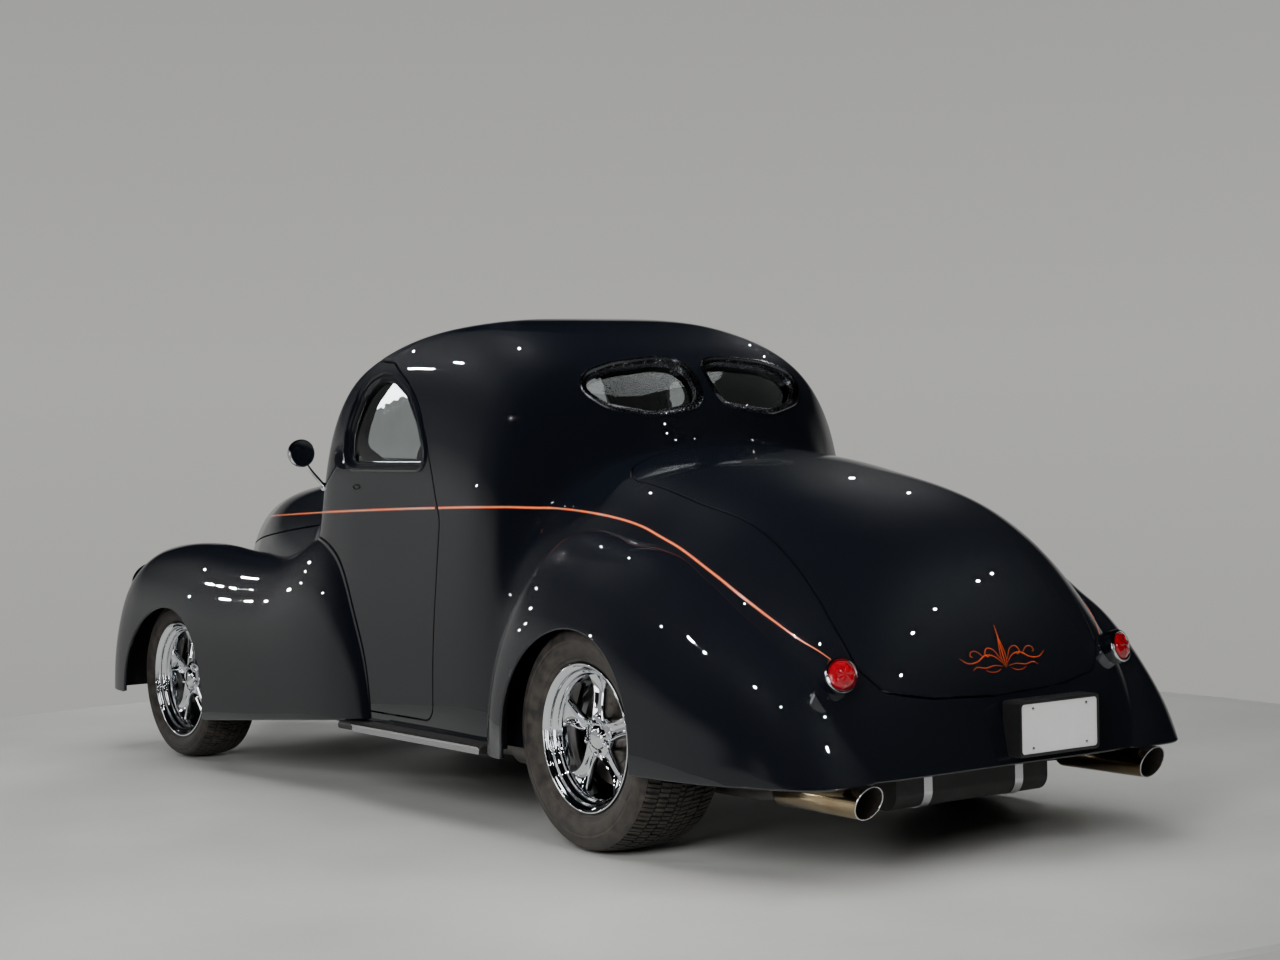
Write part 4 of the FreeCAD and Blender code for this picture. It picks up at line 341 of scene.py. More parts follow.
@cache
def stuff(name):
    """Material of one row of the table of finishes."""
    row = dict(finish_rows[name])
    tints, cloud, span, haze, limits, raised = (
        row.pop(key, None) for key in ("tints", "cloud", "span", "haze", "range", "raised"))
    material, tree, shader = finish(name, linear(row.pop("colour")), **row)
    shade = grain(tree, *cloud) if cloud else None
    if tints:
        share = spread(tree, shade, 0, 1, *span) if span else shade
        tree.links.new(tint(tree, share, *map(linear, tints)), shader.inputs["Base Color"])
    if limits:
        film = grain(tree, *haze) if haze else shade
        tree.links.new(spread(tree, film, *limits), shader.inputs["Roughness"])
    if raised:
        grains, strength, depth = raised
        bump(tree, shader, grain(tree, *grains), strength, depth)
    return material


@cache
def sign_enamel(name, setting, thin, *grains):
    """Brushed sign enamel, also used for the pale painted highlight down the belt stripe: its colour thins
    towards another along the streaks of the brush.
    """
    colour = tuple(getattr(bpy.context.scene.coupe_paint, setting))
    material, tree, shader = finish(name, colour, roughness=0.22, coat_weight=1.0, coat_roughness=0.03)
    tree.links.new(tint(tree, grain(tree, *grains), colour, linear(thin)), shader.inputs["Base Color"])
    return material


def stripe_edge():
    return sign_enamel("orange_sign_enamel", "stripe", "#B53F12", 14.0, 2.0)


# Painted highlight: the pale middle of the belt stripe stands for the light caught along the glossy stripe
def stripe_heart():
    return sign_enamel("peach_sign_enamel", "stripe_heart", "#E58A56", 20.0)


@cache
def leather():
    """Drum-dyed black leather: pebbled grain 1.6 mm across, shiny on the high spots."""
    material, tree, shader = finish("black_grained_leather", linear("#171515"), roughness=0.42,
                                    specular_ior_level=0.45)
    place = add(tree, "ShaderNodeTexCoord").outputs["Object"]
    cells = add(tree, "ShaderNodeTexVoronoi", {"Vector": place, "Scale": 1000 / 1.6}).outputs["Distance"]
    tree.links.new(spread(tree, grain(tree, 40.0), 0.34, 0.5), shader.inputs["Roughness"])
    bump(tree, shader, cells, 0.35, 0.0005)
    return material


@cache
def lining():
    """Woven lining cloth over board: charcoal, with a 2 mm weave."""
    material, tree, shader = finish("charcoal_lining_cloth", linear("#1B1B1D"), roughness=0.9,
                                    sheen_weight=0.3)
    place = add(tree, "ShaderNodeTexCoord").outputs["Object"]
    weave = add(tree, "ShaderNodeTexWave", {"Vector": place, "Scale": 1000 / 2.0 / (2 * pi),
                                            "Distortion": 1.0}, bands_direction="DIAGONAL")
    tree.links.new(tint(tree, weave.outputs["Fac"], linear("#141416"), linear("#26262A")),
                   shader.inputs["Base Color"])
    return material


# ---- shapes


def follow(rows, places):
    """Values of a table at many places, by a curve that keeps between its neighbours."""
    rows = np.array(rows)
    knots, values = rows[:, 0], rows[:, 1:]
    width = np.diff(knots)[:, None]
    slope = np.diff(values, axis=0) / width
    before, after = slope[:-1], slope[1:]
    first, second = 2 * width[1:] + width[:-1], width[1:] + 2 * width[:-1]
    with np.errstate(divide="ignore", invalid="ignore"):
        inner = (first + second) / (first / before + second / after)
    inner = np.where(before * after <= 0, 0, inner)
    bend = np.vstack([slope[:1], inner, slope[-1:]])
    places = np.clip(places, knots[0], knots[-1])
    span = np.clip(np.searchsorted(knots, places, side="right") - 1, 0, len(knots) - 2)
    t = ((places - knots[span]) / width[span, 0])[:, None]
    low, high = values[span], values[span + 1]
    step = low + (high - low) * t * t * (3 - 2 * t)
    return step + width[span] * (bend[span] * t * (1 - t) ** 2 + bend[span + 1] * t * t * (t - 1))


def oval(half, rise, square, angles):
    """Radius of a squared oval; half, rise and square are columns and angles is a row."""
    across = np.abs(np.cos(angles) / half) ** square
    upward = np.abs(np.sin(angles) / rise) ** square
    return (across + upward) ** (-1 / square)


def body_reach(places, angles):
    """Radius of the body at many places and angles: the larger of lower body and cabin, blended."""
    lower = follow(lower_body_shares, places)[:, :, None]
    reach = oval(lower[:, 0] * BODY_HALF, lower[:, 1] * DECK_RISE, lower[:, 2], angles)
    cabin = follow(cabin_shares, places)[:, :, None]
    upper = oval(cabin[:, 0] * CABIN_HALF, cabin[:, 1] * ROOF_RISE, cabin[:, 2], angles)
    most = np.maximum(reach, upper)
    both = most * ((reach / most) ** BLEND_POWER + (upper / most) ** BLEND_POWER) ** (1 / BLEND_POWER)
    inside = (places >= cabin_shares[0][0]) & (places <= cabin_shares[-1][0])
    return np.where(inside[:, None], both, reach)


def smeared(grid, width, axis):
    """The grid softened along one axis by a bell curve of the given width in cells."""
    reach = int(3 * width)
    bell = np.exp(-0.5 * (np.arange(-reach, reach + 1) / width) ** 2)
    pad = [(0, 0)] * grid.ndim
    pad[axis] = (reach, reach)
    wide = np.pad(grid, pad, mode="edge")
    count = grid.shape[axis]
    out = sum(share * np.take(wide, range(i, i + count), axis) for i, share in enumerate(bell))
    return out / bell.sum()


class Skin:
    """Smooth master surface of one panel group: its radius and its outward direction."""
    COLUMNS = 181
    STEP = 0.006

    def __init__(self, reach, start, length, first, last, middle, base):
        angles = np.linspace(0, pi, self.COLUMNS)
        dense = np.linspace(first, last, 3000)
        trial = reach(dense, angles[15:166:15])
        climb = np.abs(np.diff(trial, axis=0)).max(axis=1)
        run = np.concatenate([[0], np.cumsum(np.hypot(np.diff(dense) * length, climb))])
        places = np.interp(np.arange(0, run[-1], self.STEP), run, dense)
        self.middle, self.base = middle, base
        self.radius = reach(places, angles)
        self.along = start + places * length
        grid = np.stack([np.repeat(self.along[:, None], self.COLUMNS, 1),
                         middle + self.radius * np.cos(angles), base + self.radius * np.sin(angles)], 2)
        normal = np.cross(np.gradient(grid, axis=1), np.gradient(grid, axis=0))
        outward = np.stack([0 * grid[..., 0], grid[..., 1] - middle, grid[..., 2] - base], 2)
        normal *= np.where((normal * outward).sum(2) < 0, -1, 1)[..., None]
        normal /= np.linalg.norm(normal, axis=2)[..., None] + 1e-12
        normal = smeared(smeared(normal, 4.0, 0), 1.5, 1)
        self.normal = normal / np.linalg.norm(normal, axis=2)[..., None]

    def look(self, points, side=1):
        """Distance above the skin and outward direction at many points, on the left or right side."""
        y, z = points[:, 1] * side - self.middle, points[:, 2] - self.base
        row = np.interp(points[:, 0], self.along, np.arange(len(self.along)))
        column = np.clip(np.arctan2(z, y) / pi, 0, 1) * (self.COLUMNS - 1)
        i = np.minimum(row.astype(int), len(self.along) - 2)
        j = np.minimum(column.astype(int), self.COLUMNS - 2)
        s, t = (row - i)[:, None], (column - j)[:, None]

        def blend(grid):
            return ((grid[i, j] * (1 - t) + grid[i, j + 1] * t) * (1 - s)
                    + (grid[i + 1, j] * (1 - t) + grid[i + 1, j + 1] * t) * s)
        normal = blend(self.normal)
        normal /= np.linalg.norm(normal, axis=1)[:, None]
        radius = blend(self.radius[..., None])[:, 0]
        far = np.hypot(y, z)
        facing = (normal[:, 1] * y + normal[:, 2] * z) / np.maximum(far, 1e-9)
        off = (far - radius) * facing
        outside = (points[:, 0] < self.along[0] - 0.003) | (points[:, 0] > self.along[-1] + 0.003)
        off = np.where(outside, 1.0, off)
        normal[:, 1] *= side
        return off, normal


def fender_reach(rows, bulge, rise):
    """Function that gives the radius of a fender at many places and angles."""
    def reach(places, angles):
        values = follow(rows, places)[:, :, None]
        return oval(values[:, 0] * bulge, values[:, 1] * rise, FENDER_SQUARENESS, angles)
    return reach


body_skin = Skin(body_reach, TAIL_X, LENGTH, 0.0115, 1.0, 0.0, ROCKER)
rear_skin = Skin(fender_reach(rear_fender_shares, 0.290, 0.680), -2.091, 1.390, 0, 1, 0.560, 0.240)
front_skin = Skin(fender_reach(front_fender_shares, 0.200, 0.600), 0.061, 1.860, 0, 1, 0.640, 0.180)


class Form:
    """Points and faces of one piece while it is being made."""

    def __init__(self):
        self.points, self.faces, self.marks = [], [], []

    def add(self, points, faces, mark=0):
        start = len(self.points)
        self.points += [tuple(p) for p in points]
        self.faces += [tuple(start + i for i in face) for face in faces]
        self.marks += [mark] * len(faces)

    def turned(self, profile, centre, axis, steps=64, mark=0, closed=False):
        """Lathe form: the profile gives pairs of distance along the axis and radius."""
        axis = Vector(axis).normalized()
        side = axis.orthogonal().normalized()
        third = axis.cross(side)
        points, faces = [], []
        count = len(profile)
        for step in range(steps):
            turn = 2 * pi * step / steps
            out = side * cos(turn) + third * sin(turn)
            points += [Vector(centre) + axis * a + out * r for a, r in profile]
        for step in range(steps):
            here, there = step * count, (step + 1) % steps * count
            for i in range(count if closed else count - 1):
                j = (i + 1) % count
                faces.append((here + i, there + i, there + j, here + j))
        self.add(points, faces, mark)

    def swept(self, path, ups, outline, closed=False, mark=0, shrink=None):
        """Bar along a path; the outline gives pairs of sideways and outward distance."""
        path, ups = np.array(path), np.array(ups)
        if closed:
            ahead, behind = np.roll(path, -1, 0), np.roll(path, 1, 0)
            run = ahead - behind
        else:
            run = np.gradient(path, axis=0)
        run /= np.linalg.norm(run, axis=1)[:, None] + 1e-12
        ups = ups - (ups * run).sum(1)[:, None] * run
        ups /= np.linalg.norm(ups, axis=1)[:, None]
        sides = np.cross(run, ups)
        if closed and ((path.mean(0) - path) * sides).sum() < 0:
            sides = -sides
        count, rows = len(outline), len(path)
        points, faces = [], []
        for i in range(rows):
            size = 1 if shrink is None else shrink[i]
            points += [path[i] + sides[i] * u * size + ups[i] * v for u, v in outline]
        for i in range(rows if closed else rows - 1):
            here, there = i * count, (i + 1) % rows * count
            faces += [(here + k, here + (k + 1) % count, there + (k + 1) % count, there + k)
                      for k in range(count)]
        if not closed:
            faces += [tuple(range(count))[::-1], tuple((rows - 1) * count + k for k in range(count))]
        self.add(points, faces, mark)

    def rings(self, rows):
        """Skin over rows of points, each row a closed ring, with both ends filled."""
        count, last = len(rows[0]), len(rows) - 1
        faces = []
        for i in range(last):
            for k in range(count):
                a, b = i * count + k, i * count + (k + 1) % count
                faces.append((a, b, b + count, a + count))
        faces += [tuple(range(count)), tuple(last * count + k for k in range(count))]
        self.add([point for row in rows for point in row], faces)

    def mesh(self, name, materials, sharp=35, merge=1e-5, outward=True):
        mesh = bpy.data.meshes.new(name)
        mesh.from_pydata(self.points, [], self.faces)
        for material in materials:
            mesh.materials.append(material)
        mesh.polygons.foreach_set("material_index", self.marks)
        tidy(mesh, sharp, merge, outward)
        return mesh


def tidy(mesh, sharp=35, merge=1e-5, outward=True):
    """Merges doubles, turns faces outward and shades smooth up to an angle."""
    bm = bmesh.new()
    bm.from_mesh(mesh)
    bmesh.ops.remove_doubles(bm, verts=bm.verts, dist=merge)
    if outward:
        bmesh.ops.recalc_face_normals(bm, faces=bm.faces)
    bm.to_mesh(mesh)
    bm.free()
    mesh.polygons.foreach_set("use_smooth", [True] * len(mesh.polygons))
    mesh.set_sharp_from_angle(angle=radians(sharp))


def mirrored(mesh, name):
    """The mirror image of a left mesh, its faces turned outward again."""
    other = mesh.copy()
    other.name = name
    other.transform(Matrix.Scale(-1, 4, (0, 1, 0)))
    other.flip_normals()
    return other


def settle(name, mesh, body, *nodes, slot=None):
    """Puts a finished mesh in the scene as a piece that rides on a body."""
    piece = bpy.data.objects.new(name, mesh)
    bpy.context.scene.collection.objects.link(piece)
    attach(piece, body)
    if nodes:
        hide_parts(*nodes)
    return piece


def merged(node):
    """A merged copy of a CAD node's mesh."""
    mesh = frame["nodes"][node].data.copy()
    if "custom_normal" in mesh.attributes:
        mesh.attributes.remove(mesh.attributes["custom_normal"])
    mesh.materials.clear()
    tidy(mesh, 32, 2e-5, outward=False)
    return mesh


def arrays(mesh):
    """Points, face centres and face normals of a mesh."""
    points = np.empty(len(mesh.vertices) * 3)
    mesh.vertices.foreach_get("co", points)
    centres, normals = np.empty(len(mesh.polygons) * 3), np.empty(len(mesh.polygons) * 3)
    mesh.polygons.foreach_get("center", centres)
    mesh.polygons.foreach_get("normal", normals)
    return points.reshape(-1, 3), centres.reshape(-1, 3), normals.reshape(-1, 3)


def sides_of(node):
    """1 for what is on the left or in the middle, -1 on the right."""
    return -1 if node.endswith("right") else 1


@cache
def panel(node, skin, near=0.006):
    """Copy of a body panel shaded by its master surface, and which of its faces are skin."""
    mesh = merged(node)
    side = sides_of(node) if skin is not body_skin else 1
    points, centres, normals = arrays(mesh)
    off, out = skin.look(centres, side)
    facing = (normals * out).sum(1)
    is_skin = (np.abs(off) < near) & (facing > 0.8)
    is_inside = (off < -0.008) & (facing < -0.25)
    corners = np.empty(len(mesh.loops), int)
    mesh.loops.foreach_get("vertex_index", corners)
    starts, totals = np.empty(len(mesh.polygons), int), np.empty(len(mesh.polygons), int)
    mesh.polygons.foreach_get("loop_start", starts)
    mesh.polygons.foreach_get("loop_total", totals)
    owner = np.repeat(np.arange(len(mesh.polygons)), totals)
    off, out = skin.look(points[corners], side)
    use = is_skin[owner] & (np.abs(off) < near)
    custom = np.where(use[:, None], out, 0)
    mesh.normals_split_custom_set(custom.tolist())
    return mesh, is_skin, is_inside


def rims(node, skin, keep=None, shortest=0.06):
    """Chains of points along the outline of a panel's skin."""
    mesh, is_skin, _ = panel(node, skin)
    bm = bmesh.new()
    bm.from_mesh(mesh)
    bm.faces.ensure_lookup_table()
    links = {}
    for edge in bm.edges:
        faces = edge.link_faces
        if len(faces) == 2 and is_skin[faces[0].index] != is_skin[faces[1].index]:
            a, b = edge.verts
            middle = (a.co + b.co) / 2
            if keep is None or keep(middle):
                links.setdefault(a.index, []).append(b.index)
                links.setdefault(b.index, []).append(a.index)
    bm.verts.ensure_lookup_table()
    place = {i: bm.verts[i].co.copy() for i in links}
    bm.free()
    chains = []
    used = set()

    def walk(start, nxt):
        chain = [start]
        while nxt is not None:
            used.add((min(chain[-1], nxt), max(chain[-1], nxt)))
            chain.append(nxt)
            ways = [k for k in links[nxt] if (min(nxt, k), max(nxt, k)) not in used]
            nxt = ways[0] if len(links[nxt]) == 2 and ways else None
        return chain

    ends = [i for i in links if len(links[i]) != 2]
    for start in ends + list(links):
        for nxt in links[start]:
            if (min(start, nxt), max(start, nxt)) not in used:
                chain = walk(start, nxt)
                chains.append([place[i] for i in chain])
    out = []
    for chain in chains:
        length = sum((b - a).length for a, b in zip(chain, chain[1:]))
        if length > shortest:
            out.append(chain)
    return out


def evenly(chain, step=0.008, soften=2):
    """Chain resampled at an even step and softened; a closed chain comes back without its last point."""
    points = np.array([tuple(p) for p in chain])
    closed = np.linalg.norm(points[0] - points[-1]) < 1e-4
    run = np.concatenate([[0], np.cumsum(np.linalg.norm(np.diff(points, axis=0), axis=1))])
    count = max(4, int(run[-1] / step))
    where = np.linspace(0, run[-1], count + 1)
    even = np.stack([np.interp(where, run, points[:, k]) for k in range(3)], 1)
    if closed:
        even = even[:-1]
    for _ in range(soften):
        if closed:
            even = (np.roll(even, 1, 0) + 2 * even + np.roll(even, -1, 0)) / 4
        else:
            even[1:-1] = (even[:-2] + 2 * even[1:-1] + even[2:]) / 4
    return even, closed


@cache
def target(node):
    """Search tree of a panel, for rays."""
    mesh = merged(node)
    return BVHTree.FromPolygons([v.co for v in mesh.vertices], [p.vertices for p in mesh.polygons])


def on_panel(node, start, away):
    """Point and outward direction where a ray meets a panel."""
    hit, normal, _, _ = target(node).ray_cast(Vector(start), Vector(away))
    if hit is None:
        return None
    if normal.dot(Vector(away)) > 0:
        normal = -normal
    return hit, normal


def repeat_tree(name):
    """Geometry Nodes tree that repeats one form, turning and shifting it a step at a time."""
    tree = bpy.data.node_groups.new(name, "GeometryNodeTree")
    face = tree.interface
    face.new_socket("Geometry", in_out="OUTPUT", socket_type="NodeSocketGeometry")
    face.new_socket("Geometry", in_out="INPUT", socket_type="NodeSocketGeometry")
    for label, kind in (("Form", "NodeSocketObject"), ("Count", "NodeSocketInt"), ("Turn", "NodeSocketFloat"),
                        ("Shift", "NodeSocketVector"), ("Material", "NodeSocketMaterial")):
        face.new_socket(label, in_out="INPUT", socket_type=kind)
    given = add(tree, "NodeGroupInput").outputs
    index = add(tree, "GeometryNodeInputIndex").outputs[0]
    shift = add(tree, "ShaderNodeVectorMath", {0: given["Shift"]}, operation="SCALE")
    tree.links.new(index, shift.inputs["Scale"])
    points = add(tree, "GeometryNodePoints", {"Count": given["Count"], "Position": shift.outputs[0]})
    turn = add(tree, "ShaderNodeMath", {0: index, 1: given["Turn"]}, operation="MULTIPLY")
    angle = add(tree, "ShaderNodeCombineXYZ", {"Y": turn.outputs[0]})
    form = add(tree, "GeometryNodeObjectInfo", {"Object": given["Form"]})
    copies = add(tree, "GeometryNodeInstanceOnPoints", {
        "Points": points.outputs[0], "Instance": form.outputs["Geometry"], "Rotation": angle.outputs[0]})
    whole = add(tree, "GeometryNodeRealizeInstances", {"Geometry": copies.outputs[0]})
    painted = add(tree, "GeometryNodeSetMaterial", {"Geometry": whole.outputs[0],
                                                    "Material": given["Material"]})
    add(tree, "NodeGroupOutput", {"Geometry": painted.outputs[0]})
    return tree


def repeated(mesh, count, turn=0.0, shift=(0, 0, 0), material=None):
    """Plain mesh of a form repeated by Geometry Nodes."""
    tree = bpy.data.node_groups.get("repeat_form") or repeat_tree("repeat_form")
    source = bpy.data.objects.new("form", mesh)
    host = bpy.data.objects.new("repeat", bpy.data.meshes.new("repeat"))
    for item in (source, host):
        bpy.context.scene.collection.objects.link(item)
    modifier = host.modifiers.new("repeat", "NODES")
    modifier.node_group = tree
    keys = {item.name: item.identifier for item in tree.interface.items_tree if item.in_out == "INPUT"}
    for label, value in (("Form", source), ("Count", count), ("Turn", turn), ("Shift", shift),
                         ("Material", material)):
        modifier[keys[label]] = value
    graph = bpy.context.evaluated_depsgraph_get()
    made = bpy.data.meshes.new_from_object(host.evaluated_get(graph), preserve_all_data_layers=True,
                                           depsgraph=graph)
    host.modifiers.remove(modifier)
    for item in (source, host):
        bpy.data.objects.remove(item)
    return made


def joined(name, meshes, materials, sharp=35):
    """One mesh from several, each with its own material."""
    bm = bmesh.new()
    for index, mesh in enumerate(meshes):
        start = len(bm.faces)
        bm.from_mesh(mesh)
        bm.faces.ensure_lookup_table()
        for face in bm.faces[start:]:
            face.material_index = index
    whole = bpy.data.meshes.new(name)
    bm.to_mesh(whole)
    bm.free()
    for material in materials:
        whole.materials.append(material)
    whole.polygons.foreach_set("use_smooth", [True] * len(whole.polygons))
    whole.set_sharp_from_angle(angle=radians(sharp))
    return whole


def set_slots(node, material):
    """Gives a CAD node that stays its material."""
    mesh = frame["nodes"][node].data
    if len(mesh.materials) == 0:
        mesh.materials.append(material)
    for index in range(len(mesh.materials)):
        mesh.materials[index] = material
    for slot in frame["nodes"][node].material_slots:
        slot.material = material


def body_name(node):
    """Body that a CAD node belongs to."""
    for name, nodes in frame["record"]["behaviour"]["bodies"].items():
        if node in nodes:
            return name
    raise KeyError(node)


# How far the crest of the rear fenders rolls down: place along the car and drop, in metres
crest_drop = ((-1.780, 0.000), (-1.690, 0.004), (-1.620, 0.014), (-1.530, 0.032), (-1.430, 0.038),
              (-1.320, 0.046), (-1.220, 0.050), (-1.130, 0.042), (-1.040, 0.022), (-0.950, 0.004),
              (-0.860, 0.000))


def rolled(mesh):
    """Lowers the crest of a rear fender, and turns its corner normals to suit."""
    def drop(points):
        share = np.clip((points[:, 2] - 0.62) / 0.30, 0, 1)
        return follow(crest_drop, points[:, 0])[:, 0] * share * share * (3 - 2 * share)
    count = len(mesh.vertices)
    points = np.empty(count * 3)
    mesh.vertices.foreach_get("co", points)
    points = points.reshape(-1, 3)
    corners = np.empty(len(mesh.loops), int)
    mesh.loops.foreach_get("vertex_index", corners)
    normals = np.empty(len(mesh.loops) * 3)
    mesh.corner_normals.foreach_get("vector", normals)
    normals = normals.reshape(-1, 3)
    step = 1e-4
    here = drop(points)
    along = (drop(points + (step, 0, 0)) - here) / step
    upward = 1 - (drop(points + (0, 0, step)) - here) / step
    turned = np.stack([normals[:, 0] + normals[:, 2] * along[corners] / upward[corners], normals[:, 1],
                       normals[:, 2] / upward[corners]], 1)
    points[:, 2] -= here
    mesh.vertices.foreach_set("co", points.ravel())
    mesh.update()
    mesh.normals_split_custom_set((turned / np.linalg.norm(turned, axis=1)[:, None]).tolist())


class COUPE_OT_panels(bpy.types.Operator):
    """Body panels, fenders, doors and lids in polished lacquer, lined inside"""
    bl_idname = "coupe.panels"
    bl_label = "Body panels"

    def execute(self, context):
        for node, skin in (
                ("body_shell", body_skin), ("door_left", body_skin), ("door_right", body_skin),
                ("trunk_lid", body_skin), ("hood", body_skin), ("nose_shell", body_skin),
                ("rear_fender_left", rear_skin), ("rear_fender_right", rear_skin),
                ("front_fender_left", front_skin), ("front_fender_right", front_skin)):
            mesh, _, is_inside = panel(node, skin)
            mesh.materials.append(black_lacquer())
            lined = node in ("body_shell", "door_left", "door_right", "trunk_lid")
            mesh.materials.append(lining() if lined else stuff("satin_chassis_enamel"))
            mesh.polygons.foreach_set("material_index", is_inside.astype(int))
            if skin is rear_skin:
                rolled(mesh)
            settle(node + "_skin", mesh, body_name(node), node)
        return {"FINISHED"}


class COUPE_OT_stripe(bpy.types.Operator):
    """Hand-painted belt stripe along both sides, split at the door and hood seams"""
    bl_idname = "coupe.stripe"
    bl_label = "Belt stripe"
    spans = (("body_shell", -1.958, -0.326), ("door_left", -0.318, 0.470), ("body_shell", 0.480, 0.562),
             ("hood", 0.570, 1.880))

    def execute(self, context):
        half = context.scene.coupe_paint.stripe_width / 2
        forms = {}
        for side in (1, -1):
            for node, start, end in self.spans:
                if side < 0:
                    node = node.replace("left", "right")
                form = forms.setdefault(node, Form())
                steps = max(3, int((end - start) / 0.012))
                path = []
                for x in np.linspace(start, end, steps):
                    z = follow(belt_line, np.array([x]))[0, 0]
                    found = on_panel(node, (x, side * CLEAR_OF_BODY, z), (0, -side, 0))
                    if found is None:
                        continue
                    path.append(found[0])
                path, _ = evenly(path, 0.012, 1)
                ups = body_skin.look(path)[1]
                lift = 0.0006
                taper = np.interp(path[:, 0], (-1.95, -1.72), (0.30, 1.0))
                form.swept(path, ups, ((-half, -0.001), (-half, lift), (half, lift), (half, -0.001)),
                           mark=0, shrink=taper)
                # The narrow middle strip carries the pale painted highlight
                form.swept(path, ups, ((-half * 0.4, 0), (-half * 0.4, lift * 1.5),
                                       (half * 0.4, lift * 1.5), (half * 0.4, 0)), mark=1, shrink=taper)
        for node, form in forms.items():
            mesh = form.mesh(node + "_stripe", [stripe_edge(), stripe_heart()])
            settle("belt_stripe_" + node, mesh, body_name(node))
        return {"FINISHED"}


class COUPE_OT_scroll(bpy.types.Operator):
    """Small hand-painted scroll of plain curls and spears on the trunk lid"""
    bl_idname = "coupe.scroll"
    bl_label = "Trunk scroll"
    middle = (-0.045, 0.545)
    # Strokes of the right half, sideways and upward in millimetres from the middle, and their widths
    strokes = (
        (((0, -34), (0, 0), (0, 40), (0, 78)), 3.4),
        (((5, -30), (9, -4), (6, 22), (1, 46)), 2.0),
        (((8, -22), (34, -2), (66, 2), (98, -12), (132, -14), (158, 0)), 3.0),
        (((12, -12), (30, 14), (52, 20), (64, 8), (56, -2), (47, 4)), 2.4),
        (((10, -30), (40, -26), (74, -30), (104, -26), (122, -34)), 2.4),
        (((70, -4), (92, 14), (112, 14), (118, 4), (110, 0)), 2.0),
        (((20, -36), (36, -42), (58, -42), (76, -36)), 1.8))

    def execute(self, context):
        form = Form()
        for points, width in self.strokes:
            for side in (1, -1):
                if side < 0 and all(abs(u) < 1 for u, _ in points):
                    continue
                path = []
                for u, v in smooth_run(points, 36):
                    y, z = self.middle[0] + side * u / 1000, self.middle[1] + v / 1000
                    found = on_panel("trunk_lid", (-3.0, y, z), (1, 0, 0))
                    if found:
                        path.append(found[0])
                if len(path) < 4:
                    raise RuntimeError("a scroll stroke misses the trunk lid")
                path = np.array([tuple(p) for p in path])
                ups = body_skin.look(path)[1]
                swell = np.sin(np.linspace(0.04, pi - 0.04, len(path))) ** 0.6
                half = width / 2000
                form.swept(path, ups, ((-half, -0.001), (-half, 0.0006), (half, 0.0006), (half, -0.001)),
                           shrink=swell)
        settle("trunk_scroll", form.mesh("trunk_scroll", [stripe_edge()]), "trunk_lid")
        return {"FINISHED"}


def smooth_run(points, count):
    """Points along a smooth curve through the given ones."""
    points = np.array(points, float)
    padded = np.vstack([2 * points[0] - points[1], points, 2 * points[-1] - points[-2]])
    out = []
    for where in np.linspace(0, len(points) - 1, count):
        i = min(int(where), len(points) - 2)
        t = where - i
        a, b, c, d = padded[i:i + 4]
        out.append(0.5 * (2 * b + (c - a) * t + (2 * a - 5 * b + 4 * c - d) * t * t
                          + (3 * b - a - 3 * c + d) * t ** 3))
    return np.array(out)


class COUPE_OT_windows(bpy.types.Operator):
    """Glass, door window frames, rear window rings and windshield seals"""
    bl_idname = "coupe.windows"
    bl_label = "Windows"
    door_frame = ((-0.016, -0.004), (-0.015, 0.003), (-0.010, 0.0065), (-0.003, 0.006), (0.001, 0.001),
                  (0.003, -0.005), (0.008, -0.006), (0.012, -0.004), (0.016, -0.005), (0.019, -0.011),
                  (0.019, -0.024), (0.012, -0.030), (-0.002, -0.030))
    ring = ((-0.012, -0.004), (-0.0115, 0.002), (-0.008, 0.0055), (-0.004, 0.0058), (-0.001, 0.003),
            (0.001, -0.002), (0.004, -0.004), (0.007, -0.003), (0.010, -0.006), (0.011, -0.012),
            (0.010, -0.026), (-0.002, -0.026))
    seal = ((-0.014, -0.004), (-0.013, 0.003), (-0.007, 0.0055), (0.002, 0.005), (0.009, 0.000),
            (0.012, -0.008), (0.012, -0.026), (-0.002, -0.026))

    def execute(self, context):
        for node in ("windshield", "rear_windows", "door_glass_left", "door_glass_right"):
            set_slots(node, stuff("grey_tinted_glass"))
        groups = (
            ("body_shell", "rear_window_rings", self.ring, "satin_plated_steel",
             lambda p: p.x < -0.45 and p.z > 1.15 and abs(p.y) < 0.46),
            ("body_shell", "windshield_seals", self.seal, "extruded_seal_rubber",
             lambda p: p.x > 0.15 and p.z > 1.0 and abs(p.y) < 0.54),
            ("door_left", "door_window_frame_left", self.door_frame, None,
             lambda p: p.z > 1.03 and -0.24 < p.x < 0.30),
            ("door_right", "door_window_frame_right", self.door_frame, None,
             lambda p: p.z > 1.03 and -0.24 < p.x < 0.30))
        for node, name, outline, finish_name, keep in groups:
            form = Form()
            for chain in rims(node, body_skin, keep):
                path, closed = evenly(chain, 0.007, 8)
                if closed:
                    form.swept(path, body_skin.look(path)[1], outline, closed=True)
            if not form.points:
                raise RuntimeError("no window opening for " + name)
            paint = stuff(finish_name) if finish_name else black_lacquer()
            settle(name, form.mesh(name, [paint]), body_name(node))
        return {"FINISHED"}


